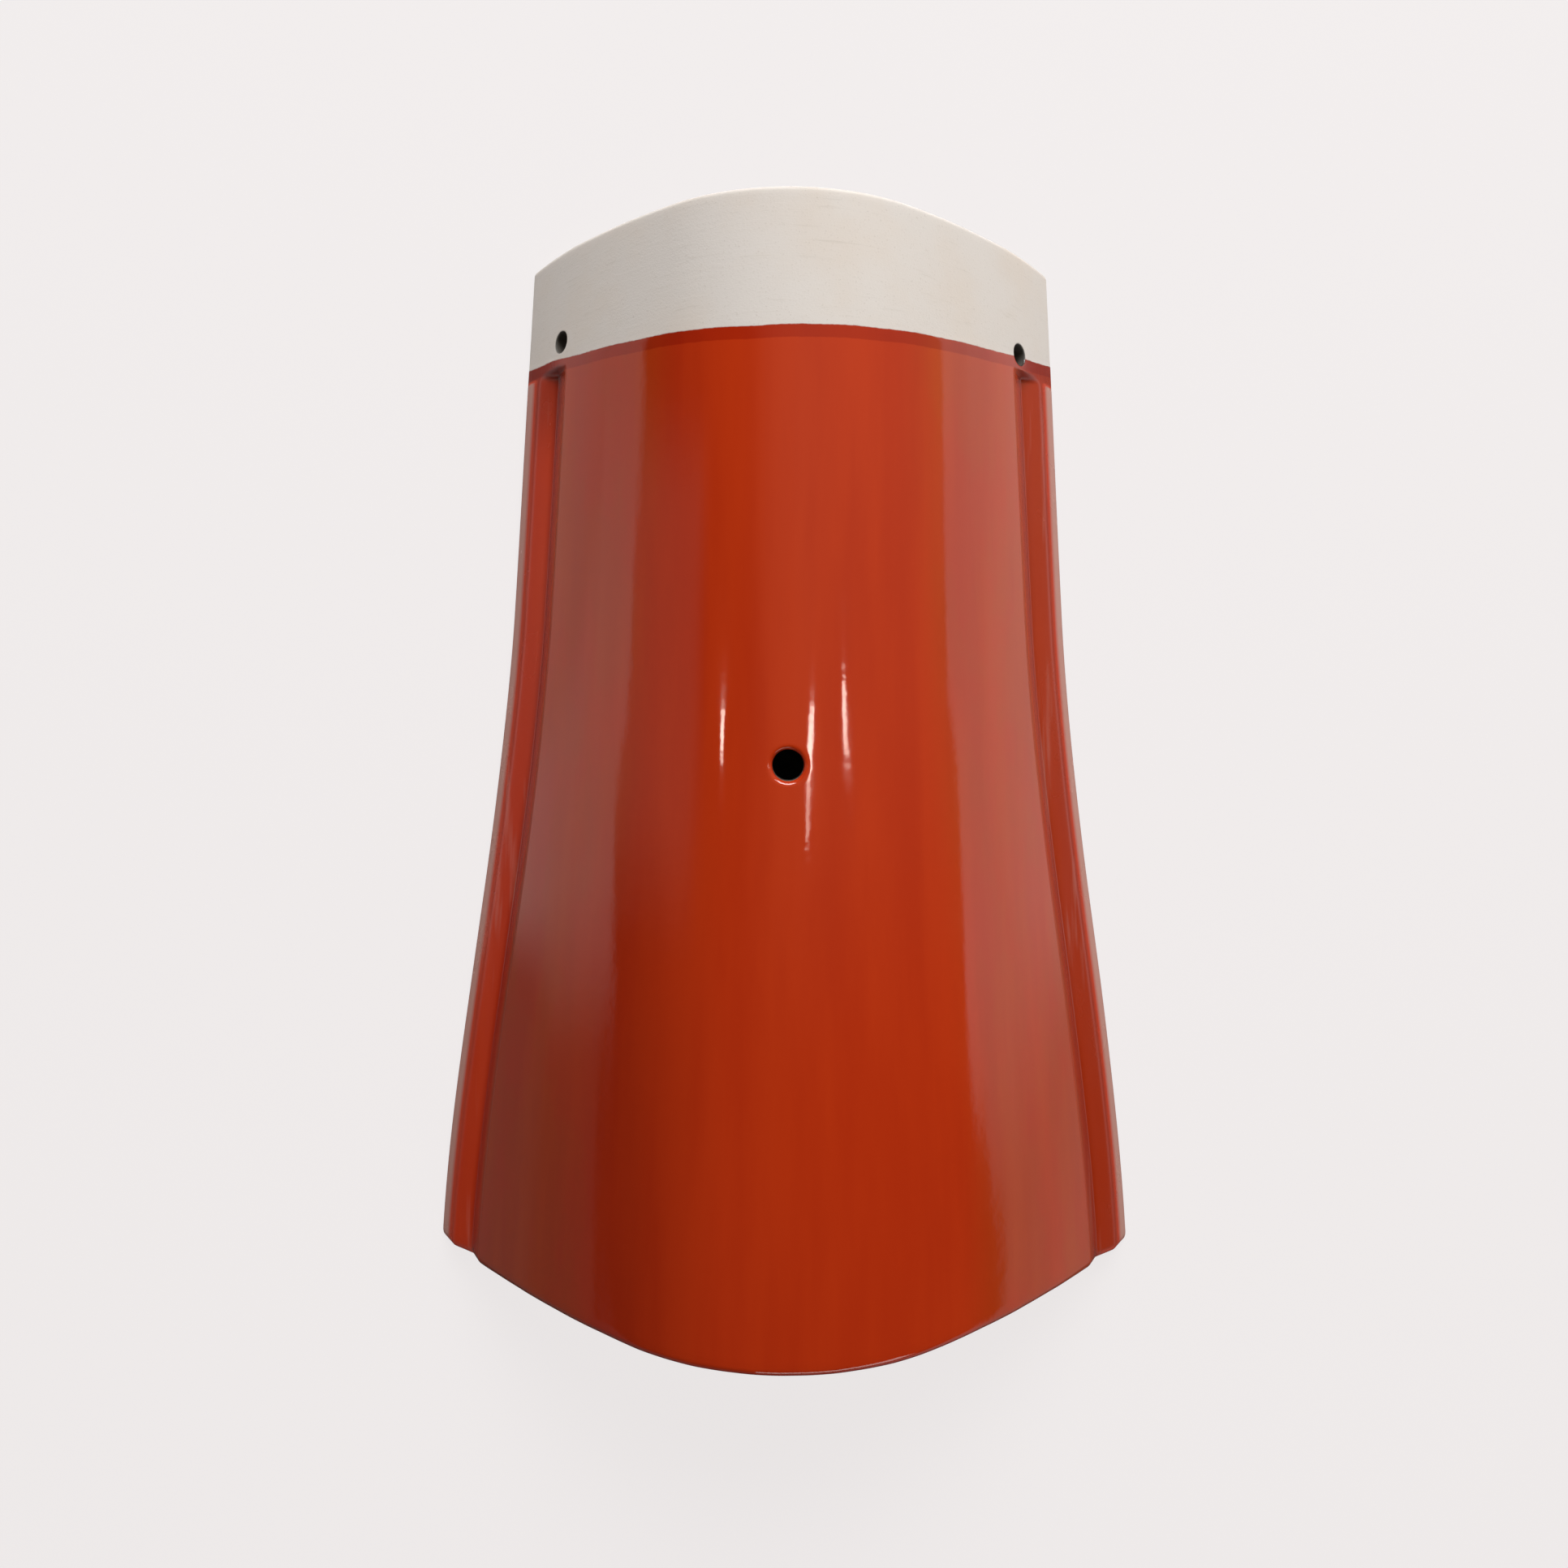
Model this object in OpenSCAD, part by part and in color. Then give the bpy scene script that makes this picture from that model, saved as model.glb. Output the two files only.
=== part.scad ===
// Verge end tile: a fired clay barrel tile that flares like a bell towards its tail.
// The tile lies crown up on its two feet. +Y points to the narrow head, -Y to the wide tail.
// All sizes are millimetres.

/* [Body] */
// Length from the head edge to the tail edge
tile_l = 370; // [330:1:410]
// Width over the feet at the head
head_w = 195.5; // [185:0.5:205]
// Width over the feet at the tail
tail_w = 261; // [245:0.5:275]
// Height of the crown above the feet at the head
head_h = 70; // [67:0.5:76]
// Height of the crown above the feet at the tail
tail_h = 88; // [84:0.5:96]
// Wall thickness, square to the surface
wall = 12; // [10:0.5:13]

/* [Bell taper] */
// Share of the widening that runs evenly from head to tail
even_share = 0.59; // [0.3:0.01:0.8]
// Where the bell flare sets in, as a share of the length from the head
flare_start = 0.35; // [0.2:0.01:0.5]

/* [Arch] */
// Crown radius at the tail, it follows the height of the crown
crown_r = 88.5; // [78:0.5:96]
// Angle from the crest at which the crown passes into the flatter flank
crown_a = 33.5; // [28:0.5:35]
// Height of the upright land where a plain flank meets its foot
foot_land = 2; // [1:0.5:3]

/* [Edge rebate] */
// Plan width of the rebate along each long edge
rebate_w = 19; // [16:0.5:21]
// Plan run of the steep riser between the flank and the tread
riser_run = 4; // [3:0.5:6]
// Height of the tread where it passes into the bevelled outer edge
tread_h = 11; // [10:0.5:13]
// Outward fall of the tread in degrees
tread_a = 30; // [22:1:34]
// Plan width of the bevel along the outer edge
bevel_w = 6.5; // [4:0.5:7.5]
// Outward fall of the bevel in degrees
bevel_a = 52; // [44:1:56]
// Distance from the head at which the rebate begins
rebate_start = 42; // [41.5:0.5:60]
// Length over which the rebate deepens
rebate_runout = 2.5; // [2:0.5:30]

/* [Ends] */
// Rounding of the outer arris at the tail
tail_round = 3; // [1.5:0.5:6]
// How far the corners of the tail lie behind its crown
tail_bow = 2.5; // [0:0.5:6]
// Rounding of the outer arris at the head
head_round = 2; // [1:0.5:3]
// Share of the end rounding that reaches the rebated edges
edge_share = 0.5; // [0.2:0.05:0.6]

/* [Fixing holes] */
// Diameter of the screw hole in the crest
crest_d = 10; // [6:0.5:14]
// Distance of the screw hole from the head edge
crest_from_head = 185; // [150:1:220]
// Diameter of the nail holes in the flanks
nail_d = 7.5; // [4:0.5:9]
// Plan distance of the nail holes from the outer edge
nail_in = 16; // [15:0.5:24]
// Distance of the left nail hole from the head edge
nail_left = 33.5; // [20:0.5:36]
// Distance of the right nail hole from the head edge
nail_right = 37; // [20:0.5:37]

/* [Hidden] */
glaze_red = "#B23C20";

// Facets of half a section and of each stretch along the length
crown_n = 8;
flank_n = 8;
half_n = crown_n + flank_n + 4;
lap_n = 4;
runout_n = 3;
barrel_n = 26;
head_n = 3;
tail_n = 4;

// Direction of the surface at the foot of the riser, between riser and tread
riser_foot_a = 45;
// Length over which the bow of the tail edge builds up
bow_run = 80;
// Spare length of a drill on either side of the wall
drill_over = 8;

// Smooth step from 0 to 1
function ease(u) = let (c = min(1, max(0, u))) c * c * (3 - 2 * c);

// Share of the taper that is reached at distance d from the head
function spread(d) = let (t = d / tile_l)
    even_share * t + (1 - even_share) * ease((t - flare_start) / (1 - flare_start));
function half_w(d) = (head_w + (tail_w - head_w) * spread(d)) / 2;
function crown_h(d) = head_h + (tail_h - head_h) * spread(d);

// Three-centred arch at distance d: [crown radius, its centre height, flank radius, its centre x, z].
// The flank arc leaves the crown arc in tangent and lands on the outer edge.
function arch(d) = let (
        r = crown_r * crown_h(d) / tail_h,
        joint_x = r * sin(crown_a),
        joint_z = crown_h(d) - r * (1 - cos(crown_a)),
        run = half_w(d) - joint_x,
        fall = joint_z - foot_land,
        flank_r = norm([run, fall]) / (2 * sin(atan2(fall, run) - crown_a)))
    [r, crown_h(d) - r, flank_r, joint_x - flank_r * sin(crown_a), joint_z - flank_r * cos(crown_a)];

// Point of an arch at angle a from the crest, set in square to the surface
function arch_at(k, a, inset) = a < crown_a
    ? [(k[0] - inset) * sin(a), k[1] + (k[0] - inset) * cos(a)]
    : [k[3] + (k[2] - inset) * sin(a), k[4] + (k[2] - inset) * cos(a)];

// Angle and height of the plain flank at plan distance x from the middle
function flank_a(k, x) = asin((x - k[3]) / k[2]);
function flank_z(k, x) = k[4] + k[2] * cos(flank_a(k, x));

// Evenly spread angles of the crown and then, in n steps, of the flank down to the angle last
function arch_angles(last, n) = concat(
    [for (i = [0:crown_n - 1]) crown_a * i / crown_n],
    [for (i = [0:n]) crown_a + (last - crown_a) * i / n]);

// Full rebate at half width b as [x, z, direction of the surface]: riser foot, tread, bevel
function rebate(b) = let (tread_run = rebate_w - riser_run - bevel_w) [
    [b - rebate_w + riser_run, tread_h + tread_run * tan(tread_a), riser_foot_a],
    [b - bevel_w, tread_h, (tread_a + bevel_a) / 2],
    [b, tread_h - bevel_w * tan(bevel_a), (bevel_a + 90) / 2]];

// Right half of the upper side at distance d, from the crest to the foot
function outer_half(d, inset) = let (
        b = half_w(d),
        k = arch(d),
        depth = ease((d - rebate_start) / rebate_runout),
        edge_inset = inset * edge_share)
    concat(
        [for (a = arch_angles(flank_a(k, b - rebate_w), flank_n)) arch_at(k, a, inset)],
        [for (p = rebate(b)) let (plain_z = flank_z(k, p[0]))
            [p[0] - edge_inset * sin(p[2]), plain_z + depth * (p[1] - plain_z) - edge_inset * cos(p[2])]],
        [[b - edge_inset, 0]]);

// Right half of the underside at distance d, from the crest to the foot
function inner_half(d) = let (k = arch(d), foot_a = acos(-k[4] / (k[2] - wall)))
    [for (a = arch_angles(foot_a, half_n - crown_n)) arch_at(k, a, wall)];

function mirrored(p) = [-p[0], p[1]];

// Closed section: over the top from left to right, then back along the underside
function section(d, inset) = let (up = outer_half(d, inset), down = inner_half(d)) concat(
    [for (i = [half_n:-1:1]) mirrored(up[i])],
    up,
    [for (i = [half_n:-1:0]) down[i]],
    [for (i = [1:half_n]) mirrored(down[i])]);

// Stations along the tile, tail first, as [distance from the head, inset of the upper side]
stations = let (barrel_from = rebate_start + rebate_runout, barrel_to = tile_l - tail_round) concat(
    [for (i = [tail_n:-1:1]) let (a = 90 * i / tail_n)
        [tile_l - tail_round * (1 - sin(a)), tail_round * (1 - cos(a))]],
    [for (i = [barrel_n:-1:1]) [barrel_from + (barrel_to - barrel_from) * i / barrel_n, 0]],
    [for (i = [runout_n:-1:1]) [rebate_start + rebate_runout * i / runout_n, 0]],
    [for (i = [lap_n:-1:1]) [head_round + (rebate_start - head_round) * i / lap_n, 0]],
    [for (i = [0:head_n]) let (a = 90 * i / head_n)
        [head_round * (1 - sin(a)), head_round * (1 - cos(a))]]);

// Position along +Y of the crest at distance d from the head edge
function along(d) = tile_l / 2 - d;

// Extra position along +Y at plan distance x from the middle, from the bow of the tail edge
function swept(d, x) = tail_bow * pow(x / half_w(d), 4) * ease(1 - (tile_l - d) / bow_run);

// Two triangles of a quad, split so that the left and right halves mirror each other
function split(q, left) = left
    ? [[q[0], q[1], q[2]], [q[0], q[2], q[3]]]
    : [[q[0], q[1], q[3]], [q[1], q[2], q[3]]];

// Solid skinned over all stations, closed by the two end faces
module barrel() {
    ring = 4 * half_n + 2;
    last = len(stations) - 1;
    points = [for (s = stations) for (p = section(s[0], s[1]))
        [p[0], along(s[0]) + swept(s[0], p[0]), p[1]]];
    skin = [for (j = [0:last - 1]) for (i = [0:ring - 1])
        let (a = j * ring + i, b = j * ring + (i + 1) % ring)
        each split([a, a + ring, b + ring, b], i < half_n || i > 3 * half_n)];
    tail_face = [for (i = [0:2 * half_n - 1])
        each split([i, i + 1, ring - 2 - i, ring - 1 - i], i < half_n)];
    head_face = [for (f = tail_face) [for (v = [2:-1:0]) f[v] + last * ring]];
    polyhedron(points, concat(skin, tail_face, head_face));
}

// Drill for the screw hole, upright through the crest
module crest_drill() {
    translate([0, along(crest_from_head), crown_h(crest_from_head) - wall - drill_over])
        cylinder(d = crest_d, h = wall + 2 * drill_over, $fn = 64);
}

// Drill for a nail hole at distance d from the head, square to the right-hand flank
module nail_drill(d) {
    k = arch(d);
    a = flank_a(k, half_w(d) - nail_in);
    p = arch_at(k, a, wall + drill_over);
    translate([p[0], along(d), p[1]])
        rotate([0, a, 0])
            cylinder(d = nail_d, h = wall + 2 * drill_over, $fn = 48);
}

module verge_end_tile() {
    color(glaze_red)
        difference() {
            barrel();
            crest_drill();
            nail_drill(nail_right);
            mirror([1, 0, 0]) nail_drill(nail_left);
        }
}

verge_end_tile();
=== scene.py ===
"""Verge end tile: a red-glazed barrel tile with a bare lap band, dressed over its fixed frame.

The tile is one fired piece, so one closed mesh stands for it. The mesh is skinned over cross
sections along the length, the fixing holes are let into it as round patches, and two finishes
cover it: a gloss red glaze that stops at the lap band, and bare cream clay everywhere else.
Lengths are metres and angles are degrees unless a name says otherwise.
"""

import logging
import math
from dataclasses import dataclass, field
from enum import Enum

import bmesh
import bpy
import numpy as np
from mathutils import Matrix, Vector

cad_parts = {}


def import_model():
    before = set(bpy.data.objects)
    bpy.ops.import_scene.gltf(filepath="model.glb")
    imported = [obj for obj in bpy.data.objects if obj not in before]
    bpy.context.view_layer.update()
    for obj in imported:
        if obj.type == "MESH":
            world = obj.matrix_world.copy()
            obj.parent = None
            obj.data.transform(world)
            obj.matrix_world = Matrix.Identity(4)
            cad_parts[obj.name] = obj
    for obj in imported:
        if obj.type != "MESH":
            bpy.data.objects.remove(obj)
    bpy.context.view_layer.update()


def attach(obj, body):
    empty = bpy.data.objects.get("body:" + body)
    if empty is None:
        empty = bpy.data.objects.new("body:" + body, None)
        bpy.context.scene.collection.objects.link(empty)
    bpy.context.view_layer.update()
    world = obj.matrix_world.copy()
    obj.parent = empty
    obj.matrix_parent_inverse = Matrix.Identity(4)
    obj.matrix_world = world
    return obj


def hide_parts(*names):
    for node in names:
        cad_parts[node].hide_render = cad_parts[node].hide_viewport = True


LOG = logging.getLogger("verge_end_tile")
TILE_NODE = "verge_end_tile"
BODY = "root"
GLAZE_LINE = "glaze_line"
HOLE_SHADE = "hole_shade"
ARRIS = "arris"
MIRRORED_X = (-1.0, 1.0)

Color = tuple[float, float, float, float]
Span = tuple[float, float]
Triple = tuple[float, float, float]
Socket = bpy.types.NodeSocket


class Zone(Enum):
    """Finish that a face of the tile takes, as the index of its material."""

    GLAZED_FACE = 0
    BARE_CLAY = 1


class Side(Enum):
    """Where across the tile a fixing hole sits."""

    LEFT = -1
    CREST = 0
    RIGHT = 1


def ease(u: np.ndarray | float) -> np.ndarray | float:
    """Smooth step from 0 to 1.

    Args:
        u: Position, clamped to the range 0 to 1.

    Returns:
        The eased position.
    """
    c = np.clip(u, 0.0, 1.0)
    return c * c * (3.0 - 2.0 * c)


def ramp(value: np.ndarray, span: Span) -> np.ndarray:
    """Smooth step from 0 at the start of a span to 1 at its end.

    Args:
        value: Positions.
        span: Start and end, in either order.

    Returns:
        Array of shares.
    """
    return ease((value - span[0]) / (span[1] - span[0]))


def ripple(at: np.ndarray, waves: tuple[Triple, ...]) -> np.ndarray:
    """Sum of sine waves.

    Args:
        at: Positions.
        waves: Height, length for each radian and phase of each wave.

    Returns:
        Array of heights.
    """
    return sum(height * np.sin(at / run + phase) for height, run, phase in waves)


def bend(start: np.ndarray, corner: np.ndarray, end: np.ndarray, steps: int) -> np.ndarray:
    """Round a corner with a parabola that is tangent to both of its legs.

    Args:
        start: Point on the first leg, left out of the result.
        corner: The sharp corner.
        end: Point on the second leg, the last one of the result.
        steps: Number of points made.

    Returns:
        Array of points, one row each.
    """
    t = np.linspace(0.0, 1.0, steps + 1)[1:, None]
    return (1 - t) ** 2 * start + 2 * t * (1 - t) * corner + t**2 * end


def straight(start: np.ndarray, end: np.ndarray, steps: int) -> np.ndarray:
    """Points on a straight line.

    Args:
        start: First end, left out of the result.
        end: Second end, the last point of the result.
        steps: Number of points made.

    Returns:
        Array of points, one row each.
    """
    t = np.linspace(0.0, 1.0, steps + 1)[1:, None]
    return start + (end - start) * t


@dataclass(frozen=True)
class Arch:
    """Three-centred arch of one cross section."""

    crown_radius: float
    crown_centre_z: float
    flank_radius: float
    flank_centre_x: float
    flank_centre_z: float
    joint: float

    def at(self, angles: np.ndarray, inset: float) -> np.ndarray:
        """Points of the arch, set in square to the surface.

        Args:
            angles: Angles from the crest in radians.
            inset: Distance inside the outer surface.

        Returns:
            Array of x and z, one row for each angle.
        """
        crown = np.stack((np.sin(angles), np.cos(angles)), axis=1)
        on_crown = crown * (self.crown_radius - inset) + (0.0, self.crown_centre_z)
        on_flank = crown * (self.flank_radius - inset) + (self.flank_centre_x, self.flank_centre_z)
        return np.where((angles < self.joint)[:, None], on_crown, on_flank)

    def flank_angle(self, x: np.ndarray | float) -> np.ndarray | float:
        """Angle from the crest, in radians, of the plain flank at distance x from the middle."""
        return np.arcsin((x - self.flank_centre_x) / self.flank_radius)

    def flank_height(self, x: np.ndarray | float) -> np.ndarray | float:
        """Height of the plain flank at distance x from the middle."""
        return self.flank_centre_z + self.flank_radius * np.cos(self.flank_angle(x))


@dataclass(frozen=True)
class BarrelForm:
    """Driving sizes of the tile and the sections that follow from them."""

    length: float = 0.370
    head_width: float = 0.1955
    tail_width: float = 0.261
    head_height: float = 0.070
    tail_height: float = 0.088
    wall: float = 0.012
    even_share: float = 0.59
    flare_start: float = 0.35
    crown_radius: float = 0.0885
    crown_angle: float = 33.5
    foot_land: float = 0.002
    rebate_width: float = 0.019
    riser_run: float = 0.004
    tread_height: float = 0.011
    tread_fall: float = 30.0
    bevel_width: float = 0.0065
    bevel_fall: float = 52.0
    rebate_start: float = 0.042
    rebate_runout: float = 0.0025
    tail_round: float = 0.003
    tail_bow: float = 0.0025
    bow_run: float = 0.080
    bow_power: int = 4
    head_round: float = 0.002
    mouth_round: float = 0.0015
    edge_share: float = 0.5
    riser_top_bend: float = 0.0008
    riser_foot_bend: float = 0.0005
    brow_bend: float = 0.0012
    lip_bend: float = 0.0008
    foot_arris: float = 0.0007
    crown_steps: int = 30
    flank_steps: int = 26
    bend_steps: int = 6
    riser_steps: int = 3
    tread_steps: int = 6
    brow_steps: int = 4
    bevel_steps: int = 6
    bevel_inner: int = 2
    lip_steps: int = 4
    side_steps: int = 3
    arris_steps: int = 3
    flank_margin: int = 3
    ramp_steps: int = 8

    def spread(self, d: float) -> float:
        """Share of the taper that is reached at distance d from the head."""
        t = d / self.length
        flare = ease((t - self.flare_start) / (1.0 - self.flare_start))
        return self.even_share * t + (1.0 - self.even_share) * float(flare)

    def half_width(self, d: float) -> float:
        """Half of the width over the feet at distance d from the head."""
        return (self.head_width + (self.tail_width - self.head_width) * self.spread(d)) / 2.0

    def crown_height(self, d: float) -> float:
        """Height of the crown above the feet at distance d from the head."""
        return self.head_height + (self.tail_height - self.head_height) * self.spread(d)

    def arch(self, d: float) -> Arch:
        """Arch of the section at distance d from the head.

        Args:
            d: Distance from the head edge.

        Returns:
            The arch, whose flank leaves the crown in tangent and lands on the outer edge.
        """
        joint = math.radians(self.crown_angle)
        height = self.crown_height(d)
        radius = self.crown_radius * height / self.tail_height
        joint_x = radius * math.sin(joint)
        joint_z = height - radius * (1.0 - math.cos(joint))
        run = self.half_width(d) - joint_x
        fall = joint_z - self.foot_land
        flank = math.hypot(run, fall) / (2.0 * math.sin(math.atan2(fall, run) - joint))
        centre_x = joint_x - flank * math.sin(joint)
        centre_z = joint_z - flank * math.cos(joint)
        return Arch(radius, height - radius, flank, centre_x, centre_z, joint)

    def rebate_depth(self, d: float) -> float:
        """Share of the full rebate that is cut at distance d from the head."""
        return float(ease((d - self.rebate_start) / self.rebate_runout))

    def upper_counts(self) -> tuple[int, int]:
        """Numbers of points of half the upper side that lie on the arch and on the rebate."""
        on_arch = self.crown_steps + self.flank_steps + 1
        return on_arch, sum(steps for steps, _ in self.rebate_runs())

    def rebate_runs(self) -> tuple[tuple[int, float], ...]:
        """Stretches of the rebate from the flank outward.

        Returns:
            Number of points of each stretch, and how far it lies on an arris (above 0) or in a
            hollow (below 0).
        """
        return (
            (self.bend_steps, 0.5),
            (self.riser_steps, -0.9),
            (self.bend_steps, -1.0),
            (self.tread_steps, 0.0),
            (self.brow_steps, 0.0),
            (self.bevel_inner, 0.4),
            (self.bevel_steps - self.bevel_inner, 1.0),
            (self.lip_steps, 1.0),
        )

    def half_count(self) -> int:
        """Number of points of half the upper side, and of half the underside."""
        return sum(self.upper_counts()) + self.side_steps + self.arris_steps

    def rebate(self, b: float, arch: Arch, start: np.ndarray) -> np.ndarray:
        """Full rebate of one long edge: riser, tread and bevelled outer edge.

        Args:
            b: Half of the width over the feet.
            arch: Arch of the same section.
            start: Last point of the flank, where the bend into the riser begins.

        Returns:
            Array of x and z from the flank down to the upright side.
        """
        fall = math.radians(self.tread_fall)
        drop = math.radians(self.bevel_fall)
        top_x = b - self.rebate_width
        top = np.array((top_x, float(arch.flank_height(top_x))))
        brow = np.array((b - self.bevel_width, self.tread_height))
        lip = np.array((b, self.tread_height - self.bevel_width * math.tan(drop)))
        foot_x = top_x + self.riser_run
        foot = np.array((foot_x, self.tread_height + (brow[0] - foot_x) * math.tan(fall)))
        down = (foot - top) / np.linalg.norm(foot - top)
        outward = np.array((math.cos(fall), -math.sin(fall)))
        sloped = np.array((math.cos(drop), -math.sin(drop)))
        riser_from = top + down * self.riser_top_bend
        riser_to = foot - down * self.riser_foot_bend
        tread_from = foot + outward * self.riser_foot_bend
        tread_to = brow - outward * self.brow_bend
        bevel_from = brow + sloped * self.brow_bend
        bevel_to = lip - sloped * self.lip_bend
        side_from = lip - (0.0, self.lip_bend)
        return np.concatenate((
            bend(start, top, riser_from, self.bend_steps),
            straight(riser_from, riser_to, self.riser_steps),
            bend(riser_to, foot, tread_from, self.bend_steps),
            straight(tread_from, tread_to, self.tread_steps),
            bend(tread_to, brow, bevel_from, self.brow_steps),
            straight(bevel_from, bevel_to, self.bevel_steps),
            bend(bevel_to, lip, side_from, self.lip_steps),
        ))

    def upper_half(self, d: float, inset: float) -> np.ndarray:
        """Right half of the upper side at distance d from the head.

        Args:
            d: Distance from the head edge.
            inset: How far the end rounding sets the surface in.

        Returns:
            Array of x and z from the crest to the foot.
        """
        b = self.half_width(d)
        arch = self.arch(d)
        depth = self.rebate_depth(d)
        last = float(arch.flank_angle(b - self.rebate_width - self.riser_top_bend))
        crown = np.linspace(0.0, arch.joint, self.crown_steps + 1)[:-1]
        flank = np.linspace(arch.joint, last, self.flank_steps + 1)
        over = arch.at(np.concatenate((crown, flank)), 0.0)
        edge = self.rebate(b, arch, over[-1])
        plain = arch.flank_height(edge[:, 0])
        edge[:, 1] = plain + depth * (edge[:, 1] - plain)
        side_top = edge[-1, 1]
        arris = min(self.foot_arris, side_top / 2.0)
        side_z = np.linspace(side_top, arris, self.side_steps + 1)[1:]
        side = np.stack((np.full(self.side_steps, b), side_z), axis=1)
        corner = np.array((b, 0.0))
        under = bend(side[-1], corner, np.array((b - arris, 0.0)), self.arris_steps)
        points = np.concatenate((over, edge, side, under))
        return points - self.end_inset(points, inset)

    def end_inset(self, points: np.ndarray, inset: float) -> np.ndarray:
        """Shift of each point of half the upper side under an end rounding.

        Args:
            points: Half of the upper side, from the crest to the foot.
            inset: How far the rounding sets the arch in.

        Returns:
            Array of shifts, less on the rebate and level on the upright side.
        """
        on_arch, on_rebate = self.upper_counts()
        share = np.full(len(points), self.edge_share)
        share[:on_arch] = 1.0
        count = self.ramp_steps
        share[on_arch - count:on_arch] = np.linspace(1.0, self.edge_share, count + 1)[1:]
        normal = section_normals(points)
        normal[on_arch + on_rebate:] = (1.0, 0.0)
        return normal * (share * inset)[:, None]

    def unfolded(self, half: np.ndarray) -> np.ndarray:
        """Half of the upper side without the loops that an inset makes at an arris.

        Args:
            half: Array of x and z from the crest to the foot.

        Returns:
            Array of x and z that runs outward and down all along the edge.
        """
        start = self.upper_counts()[0] - self.flank_margin
        stop = sum(self.upper_counts()) + self.side_steps
        line = half.copy()
        line[start:stop, 0] = np.minimum.accumulate(half[start:stop, 0][::-1])[::-1]
        line[start:, 1] = np.minimum.accumulate(half[start:, 1])
        return line

    def under_half(self, d: float, relief: float) -> np.ndarray:
        """Right half of the underside at distance d from the head.

        Args:
            d: Distance from the head edge.
            relief: How far the rounding of the mouth opens the underside.

        Returns:
            Array of x and z from the crest to the foot.
        """
        arch = self.arch(d)
        inset = self.wall - relief
        radius = arch.flank_radius - inset
        last = math.acos((self.foot_arris - arch.flank_centre_z) / radius)
        flank_steps = self.half_count() - self.crown_steps - self.arris_steps - 1
        crown = np.linspace(0.0, arch.joint, self.crown_steps + 1)[:-1]
        flank = np.linspace(arch.joint, last, flank_steps + 1)
        over = arch.at(np.concatenate((crown, flank)), inset)
        foot = math.acos(-arch.flank_centre_z / radius)
        corner = arch.at(np.array((foot,)), inset)[0]
        end = corner + (self.foot_arris, 0.0)
        return np.concatenate((over, bend(over[-1], corner, end, self.arris_steps)))

    def along(self, d: float) -> float:
        """Position along +Y of the crest at distance d from the head edge."""
        return self.length / 2.0 - d

    def distance(self, y: np.ndarray | float) -> np.ndarray | float:
        """Distance from the head edge of a position along +Y."""
        return self.length / 2.0 - y

    def placed(self, d: float, line: np.ndarray) -> np.ndarray:
        """Points of a section line in space, with the bow of the tail edge.

        Args:
            d: Distance from the head edge.
            line: Array of x and z, one row each.

        Returns:
            Array of x, y and z, one row each.
        """
        bow = self.tail_bow * float(ease(1.0 - (self.length - d) / self.bow_run))
        y = self.along(d) + bow * (line[:, 0] / self.half_width(d)) ** self.bow_power
        return np.stack((line[:, 0], y, line[:, 1]), axis=1)


def section_normals(points: np.ndarray) -> np.ndarray:
    """Outward normals of a section line that runs from the crest to the foot.

    Args:
        points: Array of x and z, one row each.

    Returns:
        Array of unit normals, one row each.
    """
    run = np.gradient(points, axis=0)
    run /= np.linalg.norm(run, axis=1)[:, None]
    return np.stack((-run[:, 1], run[:, 0]), axis=1)


def mirrored(half: np.ndarray) -> np.ndarray:
    """Whole section line from left to right, from its right half.

    Args:
        half: Array of x and z from the crest outward.

    Returns:
        Array of x and z from the left end over the crest to the right end.
    """
    return np.concatenate((half[:0:-1] * MIRRORED_X, half))


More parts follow.
